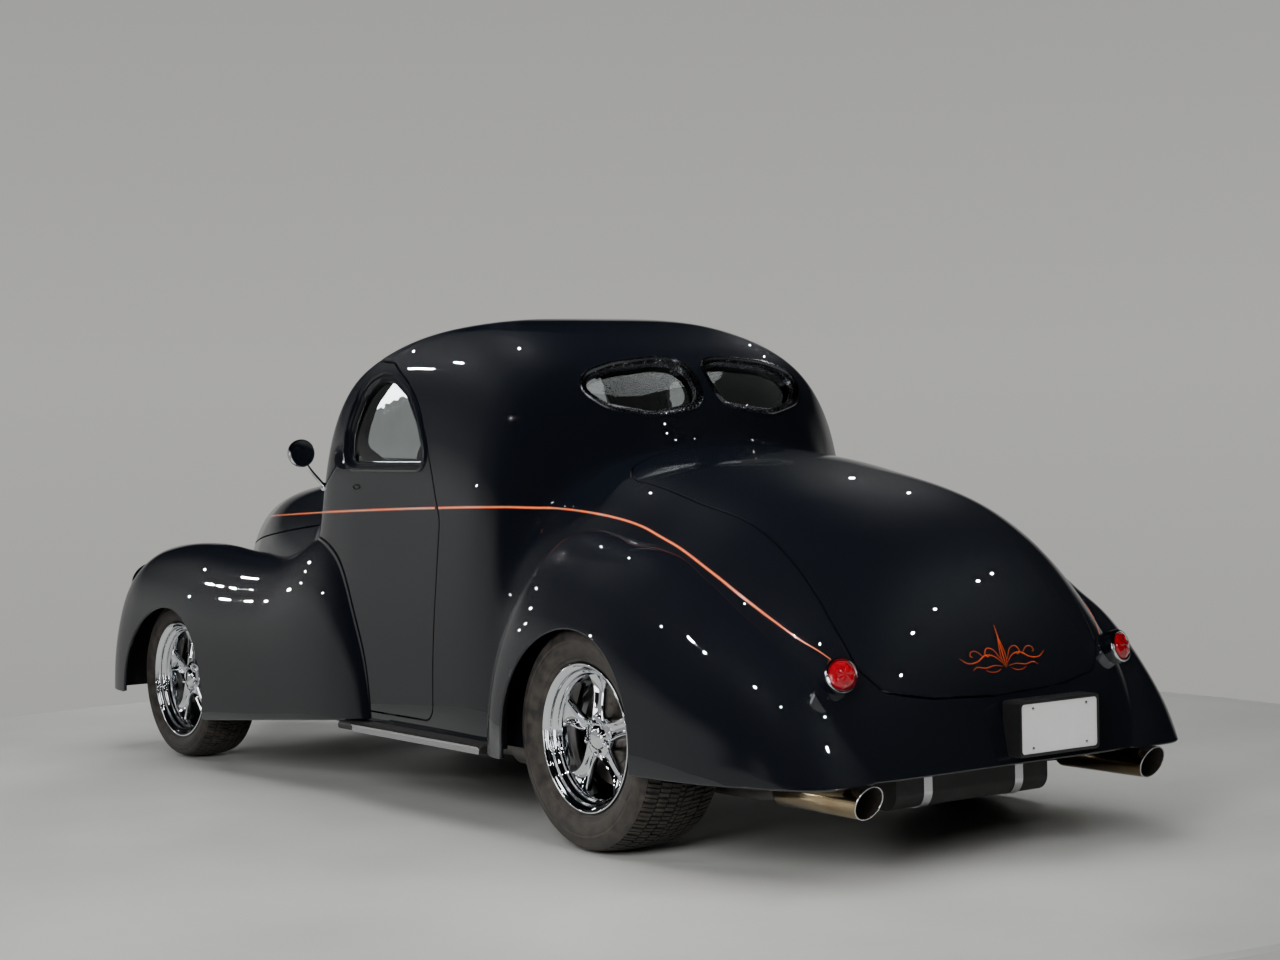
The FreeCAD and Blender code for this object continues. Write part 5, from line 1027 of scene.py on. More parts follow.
class COUPE_OT_edges(bpy.types.Operator):
    """Rolled edges of the wheel arches and of the tail"""
    bl_idname = "coupe.edges"
    bl_label = "Rolled edges"

    def execute(self, context):
        radius = context.scene.coupe_trim.bead
        outline = [(radius * cos(pi * k / 6), radius * sin(pi * k / 6) - radius) for k in range(12)]
        for node, skin in (("rear_fender_left", rear_skin), ("rear_fender_right", rear_skin),
                           ("front_fender_left", front_skin), ("front_fender_right", front_skin)):
            form = Form()
            for chain in rims(node, skin, lambda p: abs(p.y) > 0.735 or p.z < 0.30, 0.1):
                path, closed = evenly(chain, 0.010, 2)
                form.swept(path, skin.look(path, sides_of(node))[1], outline, closed=closed)
            settle(node + "_edge", form.mesh(node + "_edge", [black_lacquer()]), "chassis")
        form = Form()
        for chain in rims("body_shell", body_skin, lambda p: p.x < -1.9 and p.z < 0.34, 0.1):
            path, closed = evenly(chain, 0.010, 2)
            form.swept(path, body_skin.look(path)[1], outline, closed=closed)
        if not form.points:
            raise RuntimeError("the tail has no lower edge")
        settle("tail_edge", form.mesh("tail_edge", [black_lacquer()]), "chassis")
        return {"FINISHED"}


def arc_through(a, b, c, count):
    """Points on the circle arc from a through b to c, in the plane."""
    (ax, ay), (bx, by), (cx, cy) = a, b, c
    d = 2 * (ax * (by - cy) + bx * (cy - ay) + cx * (ay - by))
    far_a, far_b, far_c = ax ** 2 + ay ** 2, bx ** 2 + by ** 2, cx ** 2 + cy ** 2
    ux = (far_a * (by - cy) + far_b * (cy - ay) + far_c * (ay - by)) / d
    uy = (far_a * (cx - bx) + far_b * (ax - cx) + far_c * (bx - ax)) / d
    r = sqrt((ax - ux) ** 2 + (ay - uy) ** 2)
    first, middle, last = (atan2(y - uy, x - ux) for x, y in (a, b, c))
    middle = first + (middle - first + pi) % (2 * pi) - pi
    last = middle + (last - middle + pi) % (2 * pi) - pi
    turns = np.linspace(first, last, count)
    return [(ux + r * cos(t), uy + r * sin(t), cos(t), sin(t)) for t in turns]


class COUPE_OT_tyres(bpy.types.Operator):
    """Tyres with banded blank side walls and a siped tread"""
    bl_idname = "coupe.tyres"
    bl_label = "Tyres"
    # Side wall bands: share of the way from rim to shoulder, and height in millimetres
    bands = ((0.00, -1.0), (0.03, -1.0), (0.06, 2.2), (0.13, 2.6), (0.16, -0.8), (0.19, -0.8), (0.21, 0.9),
             (0.24, 0.9), (0.26, -0.3), (0.30, -0.3), (0.32, 0.6), (0.58, 0.6), (0.60, -0.9), (0.62, -0.9),
             (0.64, 1.4), (0.68, 1.4), (0.70, -0.2), (0.82, -0.2), (0.84, 1.5), (0.93, 1.5), (1.00, 0.4))
    # Tread blocks of the left half: sideways shares of the half width, share of the pitch at each side
    blocks = ((-0.055, 0.055, 0.00), (0.095, 0.33, 0.30), (0.37, 0.62, 0.75), (0.665, 0.985, 1.10))
    # Place, diameter, width and axle of each pair, and what all four share
    pairs = (("front", 0.572, 0.200, FRONT_AXLE), ("rear", 0.640, 0.284, REAR_AXLE))
    flange, bead = 0.2082, 0.1945
    bead_share, bead_step = 0.43, 0.0144
    tread_share, shoulder_fall, crown_fall = 0.84, 0.012, 0.010

    def execute(self, context):
        settings = context.scene.coupe_wheels
        for place, diameter, width, axle in self.pairs:
            left = self.tyre(diameter, width, settings)
            left.transform(Matrix.Translation(axle))
            right = mirrored(left, "tyre_right")
            settle("tyre_%s_left" % place, left, "wheel_%s_left" % place, "%s_tyre_left" % place)
            settle("tyre_%s_right" % place, right, "wheel_%s_right" % place, "%s_tyre_right" % place)
        return {"FINISHED"}

    def tyre(self, diameter, width, settings):
        outer, groove = diameter / 2, settings.groove
        bead_y = width * self.bead_share - self.bead_step
        tread_y = width / 2 * self.tread_share
        shoulder = outer - self.shoulder_fall
        base = outer - groove - 0.0012
        widest = (width / 2 - 0.003, (self.flange + outer) / 2)
        wall = arc_through((bead_y, self.flange), widest, (tread_y, shoulder), 46)
        shares = np.linspace(0, 1, len(wall))
        lifts = np.interp(shares, [b[0] for b in self.bands], [b[1] / 1000 for b in self.bands])
        half = [(y + ny * lift, r + nr * lift) for (y, r, ny, nr), lift in zip(wall, lifts)]
        half.append((tread_y - 0.002, shoulder - groove * 0.3))
        crown = [(y, base - (y / tread_y) ** 2 * self.crown_fall)
                 for y in np.linspace(tread_y - 0.006, -tread_y + 0.006, 15)]
        inner = [(bead_y - 0.002, self.bead), (-bead_y + 0.002, self.bead)]
        profile = half + crown + [(-y, r) for y, r in reversed(half)] + inner[::-1]
        form = Form()
        form.turned(profile, (0, 0, 0), (0, 1, 0), steps=120, closed=True)
        carcass = form.mesh("carcass", [], sharp=40)
        pitch = 2 * pi / settings.pitches
        lug = Form()
        for side in (1, -1):
            for low, high, shift in self.blocks:
                if side < 0 and low < 0:
                    continue
                phase = shift * pitch + (0.5 * pitch if side < 0 else 0)
                self.block(lug, side * low, side * high, phase, pitch, tread_y, outer, groove)
        one = lug.mesh("pitch", [], sharp=30, merge=1e-6)
        rubber = stuff("moulded_tyre_rubber")
        tread = repeated(one, settings.pitches, turn=pitch, material=rubber)
        return joined("tyre", [carcass, tread], [rubber, rubber], sharp=40)

    def block(self, form, low, high, phase, pitch, tread_y, outer, groove):
        """One tread block as two halves with a narrow sipe between, slanting across the tyre."""
        slant = 0.55 * pitch
        for first, last in ((0.04, 0.42), (0.47, 0.84)):
            points = []
            columns = 4
            for level in (0, 1, 2):
                for k in range(columns + 1):
                    share = low + (high - low) * k / columns
                    y = share * tread_y
                    lean = slant * abs(share)
                    top = outer - 0.0004 - (abs(y) / tread_y) ** 2.2 * 0.0105
                    if level == 0:
                        r, inset = top - groove - 0.003, 0.0
                    elif level == 1:
                        r, inset = top - 0.0012, 0.02
                    else:
                        r, inset = top, 0.05
                    trim = (0.0012 if level == 2 else 0)
                    if k == 0:
                        y += trim * (1 if high > low else -1)
                    if k == columns:
                        y -= trim * (1 if high > low else -1)
                    for edge, sign in ((first, 1), (last, -1)):
                        turn = phase + lean + (edge + sign * inset) * pitch
                        points.append((r * sin(turn), y, r * cos(turn)))
            faces = []
            row = 2 * (columns + 1)
            for level in (0, 1):
                a, b = level * row, (level + 1) * row
                for k in range(columns):
                    for e in (0, 1):
                        faces.append((a + 2 * k + e, a + 2 * k + 2 + e, b + 2 * k + 2 + e, b + 2 * k + e))
                for k in (0, columns):
                    faces.append((a + 2 * k, a + 2 * k + 1, b + 2 * k + 1, b + 2 * k))
            top = 2 * row
            for k in range(columns):
                faces.append((top + 2 * k, top + 2 * k + 1, top + 2 * k + 3, top + 2 * k + 2))
                faces.append((2 * k, 2 * k + 1, 2 * k + 3, 2 * k + 2))
            form.add(points, faces)


class COUPE_OT_wheels(bpy.types.Operator):
    """Chromed five-spoke wheels with a stepped lip, hub cap, nuts and brake disc"""
    bl_idname = "coupe.wheels"
    bl_label = "Wheels"
    # Place, half width over the lips and axle of each pair
    pairs = (("front", 0.086, FRONT_AXLE), ("rear", 0.1221, REAR_AXLE))
    face_setback, nut_circle = 0.046, 0.0475
    # Lathe profiles: distance outward from the lip or from the spoke face, and radius
    lip_outside = mm((0, 206.8), (-0.6, 208), (-4, 208), (-8.5, 207.2), (-11, 204), (-11.5, 196),
                     (-16, 194), (-26, 193.8), (-30, 191.5), (-42, 180.2))
    lip_inside = mm((0, 204.5), (-1.5, 202.2), (-4.5, 200.3), (-7, 197.2), (-8.5, 192.5), (-12, 189.5),
                    (-17, 188.5), (-21.5, 187.8), (-24.5, 185.2), (-26, 181.5), (-29, 178.5), (-34, 177),
                    (-37.5, 176.2), (-40, 173.5), (-43, 172.2))
    far_inside = mm((0, 204.5), (-9, 190), (-28, 185), (-42, 171.5))
    hub = mm((14, 0), (13.8, 12), (12.5, 22), (9.5, 30), (4.5, 35.5), (1, 37.2), (-1, 38.5), (-1.5, 42),
             (-1.5, 53.5), (-3, 57.5), (-8, 60), (-50, 60), (-50, 27), (-16, 27), (-16, 0))
    disc = mm((-50, 60), (-50, 82), (-52, 84), (-52, 139), (-53, 140), (-59, 140), (-60, 136), (-62, 136),
              (-63, 140), (-69, 140), (-70, 139), (-70, 27), (-50, 27))
    nut = mm((-4, 0), (-4, 8.8), (6, 8.8), (9, 7.5), (11.5, 4.5), (12, 0))
    # Spoke: distance from the axle, half width, rise of its edges and depth of its hollow
    stations = mm((34, 29, -2, 3), (48, 28, 0, 6), (62, 26, 0, 10), (78, 24, -1, 12), (95, 23, -3, 13),
                  (112, 23.5, -5, 13), (128, 25.5, -6, 12), (142, 29, -6, 10), (154, 33.5, -5, 8),
                  (164, 39, -3, 6), (172, 45, -1, 4), (178.5, 50, 0, 3))
    # Edge of a spoke: step in from its side, and fall below its edge
    spoke_edge = mm((0, 19), (0, 7), (1.2, 2), (4, 0), (7, 1.2))
    hollow_width_share, hollow_depth_share = 0.45, 0.8

    def execute(self, context):
        settings = context.scene.coupe_wheels
        for place, half, axle in self.pairs:
            left = self.wheel(half, settings)
            left.transform(Matrix.Translation(axle))
            right = mirrored(left, "wheel_right")
            settle("rim_%s_left" % place, left, "wheel_%s_left" % place, "%s_rim_left" % place)
            settle("rim_%s_right" % place, right, "wheel_%s_right" % place, "%s_rim_right" % place)
        return {"FINISHED"}

    def wheel(self, half, settings):
        chrome = stuff("bright_chrome")
        face = half - self.face_setback
        form = Form()
        profile = (moved(self.lip_inside, half)[::-1] + moved(self.lip_outside, half)
                   + moved(self.lip_outside, -half, -1)[::-1] + moved(self.far_inside, -half, -1))
        form.turned(profile, (0, 0, 0), (0, 1, 0), steps=128, closed=True)
        form.turned(moved(self.hub, face), (0, 0, 0), (0, 1, 0), steps=96)
        form.turned(moved(self.disc, face), (0, 0, 0), (0, 1, 0), steps=96, mark=1, closed=True)
        body = form.mesh("wheel", [], sharp=50)
        spokes = repeated(self.spoke(face), settings.spokes, turn=2 * pi / settings.spokes, material=chrome)
        nut = Form()
        nut.turned(moved(self.nut, face), (0, 0, self.nut_circle), (0, 1, 0), steps=6)
        nuts = repeated(nut.mesh("nut", [], sharp=20), settings.nuts, turn=2 * pi / settings.nuts,
                        material=chrome)
        nuts.transform(Matrix.Rotation(pi / settings.nuts, 4, "Y"))
        whole = joined("wheel", [body, spokes, nuts], [chrome] * 3, sharp=40)
        whole.materials.append(stuff("turned_grey_iron"))
        marks = np.zeros(len(whole.polygons), int)
        marks[:len(body.polygons)] = [3 if p.material_index == 1 else 0 for p in body.polygons]
        whole.polygons.foreach_set("material_index", marks)
        return whole

    def spoke(self, face):
        """One spoke: raised edges, a hollow down the middle, flared at hub and rim."""
        fine = smooth_run(self.stations, 30)
        rows = []
        for _, w, top, hollow in fine:
            y = face + top
            edge = [(-w + step, y - fall) for step, fall in self.spoke_edge]
            flank, floor = w * self.hollow_width_share, y - hollow * self.hollow_depth_share
            rows.append(edge + [(-flank, floor), (0, y - hollow), (flank, floor)]
                        + [(-x, level) for x, level in edge[::-1]])
        form = Form()
        form.rings([[(x, y, r) for x, y in row] for (r, *_), row in zip(fine, rows)])
        return form.mesh("spoke", [], sharp=60)


class COUPE_OT_lamps(bpy.types.Operator):
    """Round tail lamps with faceted red glass, and head lamps with clear glass"""
    bl_idname = "coupe.lamps"
    bl_label = "Lamps"
    # Lathe profiles: distance along the lamp, and radius
    bezel = mm((-60, 45.5), (-12, 47.8), (-4, 48), (0, 47), (3, 44.5), (3.5, 41.5), (1, 39), (-4, 37.8),
               (-10, 37), (-10, 0))
    # Tail lamp: place, way it faces, length behind the lens, radius, and the facets of its lens
    tail_y, tail_z = 0.497, 0.518
    tail_away = Vector((-1, 0.25, 0.25)).normalized()
    tail_length, tail_radius = 0.068, 0.048
    facet_rings, facets_round = 5, 14
    lens_radius, lens_rise, dent = 0.0378, 0.0165, 0.0012
    # Head lamp: place, bowl and lens
    head_y, head_z = 0.640, 0.600
    bowl_radius, bowl_depth, bowl_front = 0.080, 0.075, 0.100
    glass_radius, glass_rise, glass_front, glass_wall = 0.0815, 0.024, 0.104, 0.004
    head_ring = mm((0, 0), (0, 91.5), (100, 91.8), (108, 91.5), (114, 89.5), (117, 85.5), (115, 82),
                   (108, 80.5), (98, 80))

    def execute(self, context):
        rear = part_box("tail_lamps")[0].x
        away = self.tail_away
        reach = -away.x * self.tail_length + self.tail_radius * sqrt(1 - away.x ** 2)
        left = Form()
        base = Vector((rear + reach, self.tail_y, self.tail_z)) + away * self.tail_length
        left.turned(self.bezel, base, away, steps=72, mark=0)
        facets, rings, count = [], self.facet_rings, self.facets_round
        side = away.orthogonal().normalized()
        third = away.cross(side)
        points = [base + away * (self.lens_rise - 0.001)]
        for ring in range(1, rings + 1):
            angle = ring / rings
            radius = self.lens_radius * sin(angle * pi / 2)
            depth = -0.001 + self.lens_rise * cos(angle * pi / 2)
            for k in range(count):
                turn = 2 * pi * (k + 0.5 * (ring % 2)) / count
                dent = self.dent * (-1) ** k if ring < rings else 0
                points.append(base + away * (depth + dent) + (side * cos(turn) + third * sin(turn)) * radius)
        for k in range(count):
            facets.append((0, 1 + k, 1 + (k + 1) % count))
        for ring in range(1, rings):
            here, there = 1 + (ring - 1) * count, 1 + ring * count
            for k in range(count):
                a, b = here + k, here + (k + 1) % count
                c, d = there + k, there + (k + 1) % count
                facets += [(a, d, c), (a, b, d)] if ring % 2 else [(a, b, c), (b, d, c)]
        left.add(points, facets, mark=1)
        mesh = left.mesh("tail_lamps", [stuff("bright_chrome"), stuff("pressed_red_glass")], sharp=28,
                         outward=False)
        self.outward(mesh, base, away)
        right = mirrored(mesh, "tail_right")
        both = self.pair("tail_lamps", mesh, right)
        settle("tail_lamp_pair", both, "chassis", "tail_lamps")
        self.head()
        return {"FINISHED"}

    def outward(self, mesh, base, away):
        """Turns each face away from the middle of the lamp."""
        bm = bmesh.new()
        bm.from_mesh(mesh)
        heart = base - away * 0.02
        wrong = [f for f in bm.faces if f.normal.dot(f.calc_center_median() - heart) < 0]
        bmesh.ops.reverse_faces(bm, faces=wrong)
        bm.to_mesh(mesh)
        bm.free()

    def pair(self, name, left, right):
        """One mesh of a left and a right lamp."""
        bm = bmesh.new()
        bm.from_mesh(left)
        bm.from_mesh(right)
        mesh = bpy.data.meshes.new(name)
        bm.to_mesh(mesh)
        bm.free()
        for material in left.materials:
            mesh.materials.append(material)
        return mesh

    def head(self):
        """Head lamps: ring, polished bowl and curved glass."""
        place = (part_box("head_lamps")[0].x, self.head_y, self.head_z)
        form = Form()
        form.turned(self.head_ring, place, (1, 0, 0), steps=96, mark=0)
        bowl = [(self.bowl_front - self.bowl_depth * (1 - (r / self.bowl_radius) ** 2), r)
                for r in np.linspace(self.bowl_radius, 0.0, 14)]
        form.turned(bowl, place, (1, 0, 0), steps=72, mark=0)
        lens = [(self.glass_front + self.glass_rise * (1 - (r / self.glass_radius) ** 2), r)
                for r in np.linspace(0.0, self.glass_radius, 12)]
        form.turned(lens + moved(lens[::-1], -self.glass_wall), place, (1, 0, 0), steps=72, mark=1)
        left = form.mesh("head_lamps", [stuff("bright_chrome"), stuff("pressed_clear_glass")], sharp=35)
        right = mirrored(left, "head_right")
        settle("head_lamp_pair", self.pair("head_lamps", left, right), "chassis", "head_lamps")


class COUPE_OT_exhausts(bpy.types.Operator):
    """Exhaust pipes with polished slant-cut tips, sooty inside"""
    bl_idname = "coupe.exhausts"
    bl_label = "Exhausts"
    # Polished tip: where it starts and ends, middle of its wall, and how far its end slants over its radius
    tip_start, tip_end, tip_radius, tip_slant = -1.772, -2.108, 0.0438, 0.019 / 0.045
    near_tip, bore = 0.05, 0.030
    lip_radius, lip_out = 0.0016, 0.0012

    def execute(self, context):
        mesh = merged("exhausts")
        for material in (stuff("aluminised_steel"), stuff("heat_tinted_stainless"), stuff("baked_soot")):
            mesh.materials.append(material)
        _, centres, normals = arrays(mesh)
        marks = []
        for centre, normal in zip(centres, normals):
            spread_y = EXHAUST_SPREAD if centre[1] > 0 else -EXHAUST_SPREAD
            out = Vector((0, centre[1] - spread_y, centre[2] - EXHAUST_HEIGHT))
            tip = centre[0] < self.tip_start and out.length < self.near_tip
            inner = Vector(normal).dot(out) < -0.2 * out.length or out.length < self.bore
            marks.append(2 if tip and inner else 1 if tip else 0)
        mesh.polygons.foreach_set("material_index", marks)
        settle("exhaust_pair", mesh, "chassis", "exhausts")
        form = Form()
        for side in (1, -1):
            count = 72
            path, ups = [], []
            for k in range(count):
                turn = 2 * pi * k / count
                z = self.tip_radius * sin(turn)
                x = self.tip_end - z * self.tip_slant + self.lip_out
                y = side * EXHAUST_SPREAD + self.tip_radius * cos(turn)
                path.append((x, y, EXHAUST_HEIGHT + z))
                ups.append((-1, 0, 0))
            lip = [(self.lip_radius * cos(pi * j / 3), self.lip_radius * sin(pi * j / 3)) for j in range(6)]
            form.swept(path, ups, lip, closed=True)
        settle("exhaust_tip_lips", form.mesh("lips", [stuff("bright_chrome")]), "chassis")
        return {"FINISHED"}


class COUPE_OT_plate(bpy.types.Operator):
    """Blank licence plate in a dark frame with four screws"""
    bl_idname = "coupe.plate"
    bl_label = "Licence plate"
    near, far, low, high = -0.295, 0.005, 0.280, 0.430
    # Frame outline, sideways and outward, and a screw's distance outward and radius
    moulding = mm((-6, -6), (-6, 0.5), (-4, 1.8), (0, 1.8), (1.5, 0.5), (2, -2), (2, -6))
    screw = mm((0, 0), (0, 4.8), (1.2, 4.6), (2.2, 3), (2.4, 0))
    # Enamelled sheet: step in from the plate's edge, corner radius and depth behind the frame's face
    sheet = mm((9, 9, 2.2), (14, 7, 0.8), (18, 5, 1.8))
    screw_side, screw_end = 0.050, 0.022

    def execute(self, context):
        lo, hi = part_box("licence_plate")
        rear = lo.x
        form = Form()
        form.rings([self.loop(0.0, 0.010, x) for x in (rear + 0.0025, hi.x)])
        corners = self.loop(0.007, 0.012, rear + 0.002)
        form.swept(corners, [(-1, 0, 0)] * len(corners), self.moulding, closed=True, mark=0)
        steps = [self.loop(inset, radius, rear + depth) for inset, radius, depth in self.sheet]
        count = len(steps[0])
        points = [point for step in steps for point in step]
        faces = [(a + k, a + (k + 1) % count, a + count + (k + 1) % count, a + count + k)
                 for a in (0, count) for k in range(count)]
        faces.append(tuple(2 * count + k for k in range(count)))
        form.add(points, faces, mark=1)
        for y in (self.near + self.screw_side, self.far - self.screw_side):
            for z in (self.low + self.screw_end, self.high - self.screw_end):
                form.turned(self.screw, (rear + 0.0024, y, z), (-1, 0, 0), steps=20, mark=2)
        finishes = [stuff(name) for name in ("grained_black_abs", "baked_white_enamel", "bright_chrome")]
        mesh = form.mesh("plate", finishes, sharp=35)
        settle("plate_face", mesh, "chassis", "licence_plate")
        return {"FINISHED"}

    def loop(self, inset, r, x):
        """Outline of the plate with rounded corners, stepped in from its edge."""
        y0, y1, z0, z1 = self.near + inset, self.far - inset, self.low + inset, self.high - inset
        points = []
        for cy, cz, start in ((y1 - r, z1 - r, 0), (y0 + r, z1 - r, 90), (y0 + r, z0 + r, 180),
                              (y1 - r, z0 + r, 270)):
            for k in range(7):
                turn = radians(start + 15 * k)
                points.append((x, cy + r * cos(turn), cz + r * sin(turn)))
        return points


class COUPE_OT_mirrors(bpy.types.Operator):
    """Round chromed door mirrors and the flush handles below the windows"""
    bl_idname = "coupe.mirrors"
    bl_label = "Mirrors and handles"
    # Lathe profiles: distance along the axis, and radius
    shell = mm((0, 0), (0, 40.5), (-0.6, 43), (0.6, 45.2), (4, 46), (10, 46), (18, 45.2), (28, 42),
               (38, 35.5), (46, 25), (50.5, 12), (51, 0))
    foot_ring = mm((-4, 0), (-4, 15), (3, 15), (7, 13.5), (11, 9.5), (16, 7), (16, 0))
    # Handle: share of its outline, and height above the door
    handle = ((1.0, -0.001), (1.0, 0.0010), (0.90, 0.0026), (0.72, 0.0030), (0.66, 0.0010), (0.60, -0.0002))
    handle_half_length, handle_half_height, handle_steps = 0.024, 0.0085, 36
    handle_x, handle_z = 0.182, 0.998
    # Foot of the mirror on the door: place along the body and angle round it; then foot to head
    foot_share, foot_angle = 0.6060, radians(48.5)
    arm = Vector((-0.023, 0.092, 0.115))
    arm_radius, arm_rise = 0.0062, 0.030

    def execute(self, context):
        angle = self.foot_angle
        reach = body_reach(np.array([self.foot_share]), np.array([angle]))[0, 0]
        foot = Vector((TAIL_X + self.foot_share * LENGTH, reach * cos(angle), ROCKER + reach * sin(angle)))
        head = foot + self.arm
        form = Form()
        form.turned(self.shell, head, (1, 0, 0), steps=72)
        out = Vector((0, cos(angle), sin(angle)))
        knee = foot + out * self.arm_rise
        bow = (knee + head) / 2 + Vector((0.004, 0.006, -0.004))
        run = smooth_run([tuple(foot - out * 0.004), tuple(knee), tuple(bow),
                          tuple(head + Vector((0.020, 0, 0)))], 28)
        ring = [(self.arm_radius * cos(pi * k / 6), self.arm_radius * sin(pi * k / 6)) for k in range(12)]
        form.swept(run, [(1, 0.2, 0)] * len(run), ring)
        form.turned(self.foot_ring, foot, out, steps=40)
        left = form.mesh("mirror", [stuff("bright_chrome")], sharp=40)
        right = mirrored(left, "mirror_right")
        settle("door_mirror_left", left, "door_left", "mirror_left")
        settle("door_mirror_right", right, "door_right", "mirror_right")
        for side, name in ((1, "left"), (-1, "right")):
            form = Form()
            start = (self.handle_x, side * CLEAR_OF_BODY, self.handle_z)
            found = on_panel("door_" + name, start, (0, -side, 0))
            if found is None:
                raise RuntimeError("the handle misses the door")
            up = Vector(body_skin.look(np.array([found[0]]))[1][0])
            along = Vector((1, 0, 0)) - up * up.x
            along.normalize()
            across = up.cross(along)
            turns = [2 * pi * k / self.handle_steps for k in range(self.handle_steps)]
            form.rings([[found[0] + up * lift + along * self.handle_half_length * share * cos(turn)
                         + across * self.handle_half_height * share * sin(turn) for turn in turns]
                        for share, lift in self.handle])
            mesh = form.mesh("handle", [stuff("extruded_seal_rubber")], sharp=40)
            settle("door_handle_" + name, mesh, "door_" + name)
        return {"FINISHED"}


class COUPE_OT_seats(bpy.types.Operator):
    """Pleated leather bench: cushion and back, swollen by cloth simulation"""
    bl_idname = "coupe.seats"
    bl_label = "Seats"
    # Pads: node, how far they may swell, and the axis that their pleated face looks along
    pads = (("seat_cushion", 0.022, 2), ("seat_back", 0.018, 0))
    cushion_bottom, corner, cell, frames, pressure = 0.458, 0.034, 0.011, 16, 4.0
    pleat_pitch, pleat_width_share, pleat_depth, crown_rise, pleated_half = 0.072, 0.16, 0.009, 0.004, 0.52

    def execute(self, context):
        for node, flat, axis in self.pads:
            lo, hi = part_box(node)
            lo, hi = Vector(lo), Vector(hi)
            if node == "seat_cushion":
                lo.z = self.cushion_bottom
            room = Vector((1, 1, 1)) * flat * 0.6
            mesh = self.block(lo + room, hi - room)
            piece = bpy.data.objects.new(node + "_pad", mesh)
            context.scene.collection.objects.link(piece)
            self.swell(context, piece, flat * 0.55)
            self.pleat(piece.data, lo, hi, axis)
            piece.data.materials.clear()
            piece.data.materials.append(leather())
            piece.data.polygons.foreach_set("use_smooth", [True] * len(piece.data.polygons))
            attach(piece, "chassis")
            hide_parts(node)
        return {"FINISHED"}

    def block(self, lo, hi):
        """Block with rounded edges, made of even cells for the cloth."""
        bm = bmesh.new()
        bmesh.ops.create_cube(bm, size=1)
        size = hi - lo
        for vert in bm.verts:
            vert.co = Vector([lo[i] + (vert.co[i] + 0.5) * size[i] for i in range(3)])
        bmesh.ops.bevel(bm, geom=list(bm.edges), offset=self.corner, segments=4, profile=0.6, affect="EDGES")
        bmesh.ops.recalc_face_normals(bm, faces=bm.faces)
        mesh = bpy.data.meshes.new("pad")
        bm.to_mesh(mesh)
        bm.free()
        maker = bpy.data.objects.new("maker", mesh)
        bpy.context.scene.collection.objects.link(maker)
        modifier = maker.modifiers.new("cells", "REMESH")
        modifier.mode = "VOXEL"
        modifier.voxel_size = self.cell
        graph = bpy.context.evaluated_depsgraph_get()
        fine = bpy.data.meshes.new_from_object(maker.evaluated_get(graph), depsgraph=graph)
        bpy.data.objects.remove(maker)
        return fine

    def swell(self, context, piece, cap):
        """Blows the pad up as cloth under pressure; no point moves further than the cap."""
        rest = np.empty(len(piece.data.vertices) * 3)
        piece.data.vertices.foreach_get("co", rest)
        modifier = piece.modifiers.new("cloth", "CLOTH")
        cloth = modifier.settings
        cloth.use_pressure = True
        cloth.uniform_pressure_force = self.pressure
        cloth.effector_weights.gravity = 0
        modifier.point_cache.frame_start = 1
        modifier.point_cache.frame_end = self.frames
        for number in range(1, self.frames + 1):
            context.scene.frame_set(number)
        graph = context.evaluated_depsgraph_get()
        made = bpy.data.meshes.new_from_object(piece.evaluated_get(graph), depsgraph=graph)
        piece.modifiers.remove(modifier)
        context.scene.frame_set(1)
        swollen = np.empty(len(made.vertices) * 3)
        made.vertices.foreach_get("co", swollen)
        step = (swollen - rest).reshape(-1, 3)
        far = np.linalg.norm(step, axis=1)[:, None]
        step *= np.minimum(1, cap / np.maximum(far, 1e-9))
        made.vertices.foreach_set("co", (rest.reshape(-1, 3) + step).ravel())
        piece.data = made

    def pleat(self, mesh, lo, hi, axis):
        """Sewn channels every 72 mm across the face, fading out near its ends."""
        count = len(mesh.vertices)
        points = np.empty(count * 3)
        mesh.vertices.foreach_get("co", points)
        normals = np.empty(count * 3)
        mesh.vertices.foreach_get("normal", normals)
        points, normals = points.reshape(-1, 3), normals.reshape(-1, 3)
        phase = np.abs((points[:, 1] / self.pleat_pitch) % 1 - 0.5) * 2
        sewn = np.exp(-((1 - phase) / self.pleat_width_share) ** 2)
        face = np.clip(normals[:, axis] * 1.6 - 0.2, 0, 1)
        edge = np.clip((self.pleated_half - np.abs(points[:, 1])) / 0.03, 0, 1)
        points = points - normals * (self.pleat_depth * sewn * face * edge)[:, None]
        crown = np.clip(1 - ((points[:, 1]) / 0.6) ** 4, 0, 1)
        points += normals * (self.crown_rise * face * crown * (1 - sewn))[:, None]
        mesh.vertices.foreach_set("co", np.clip(points, np.array(lo), np.array(hi)).ravel())
        mesh.update()


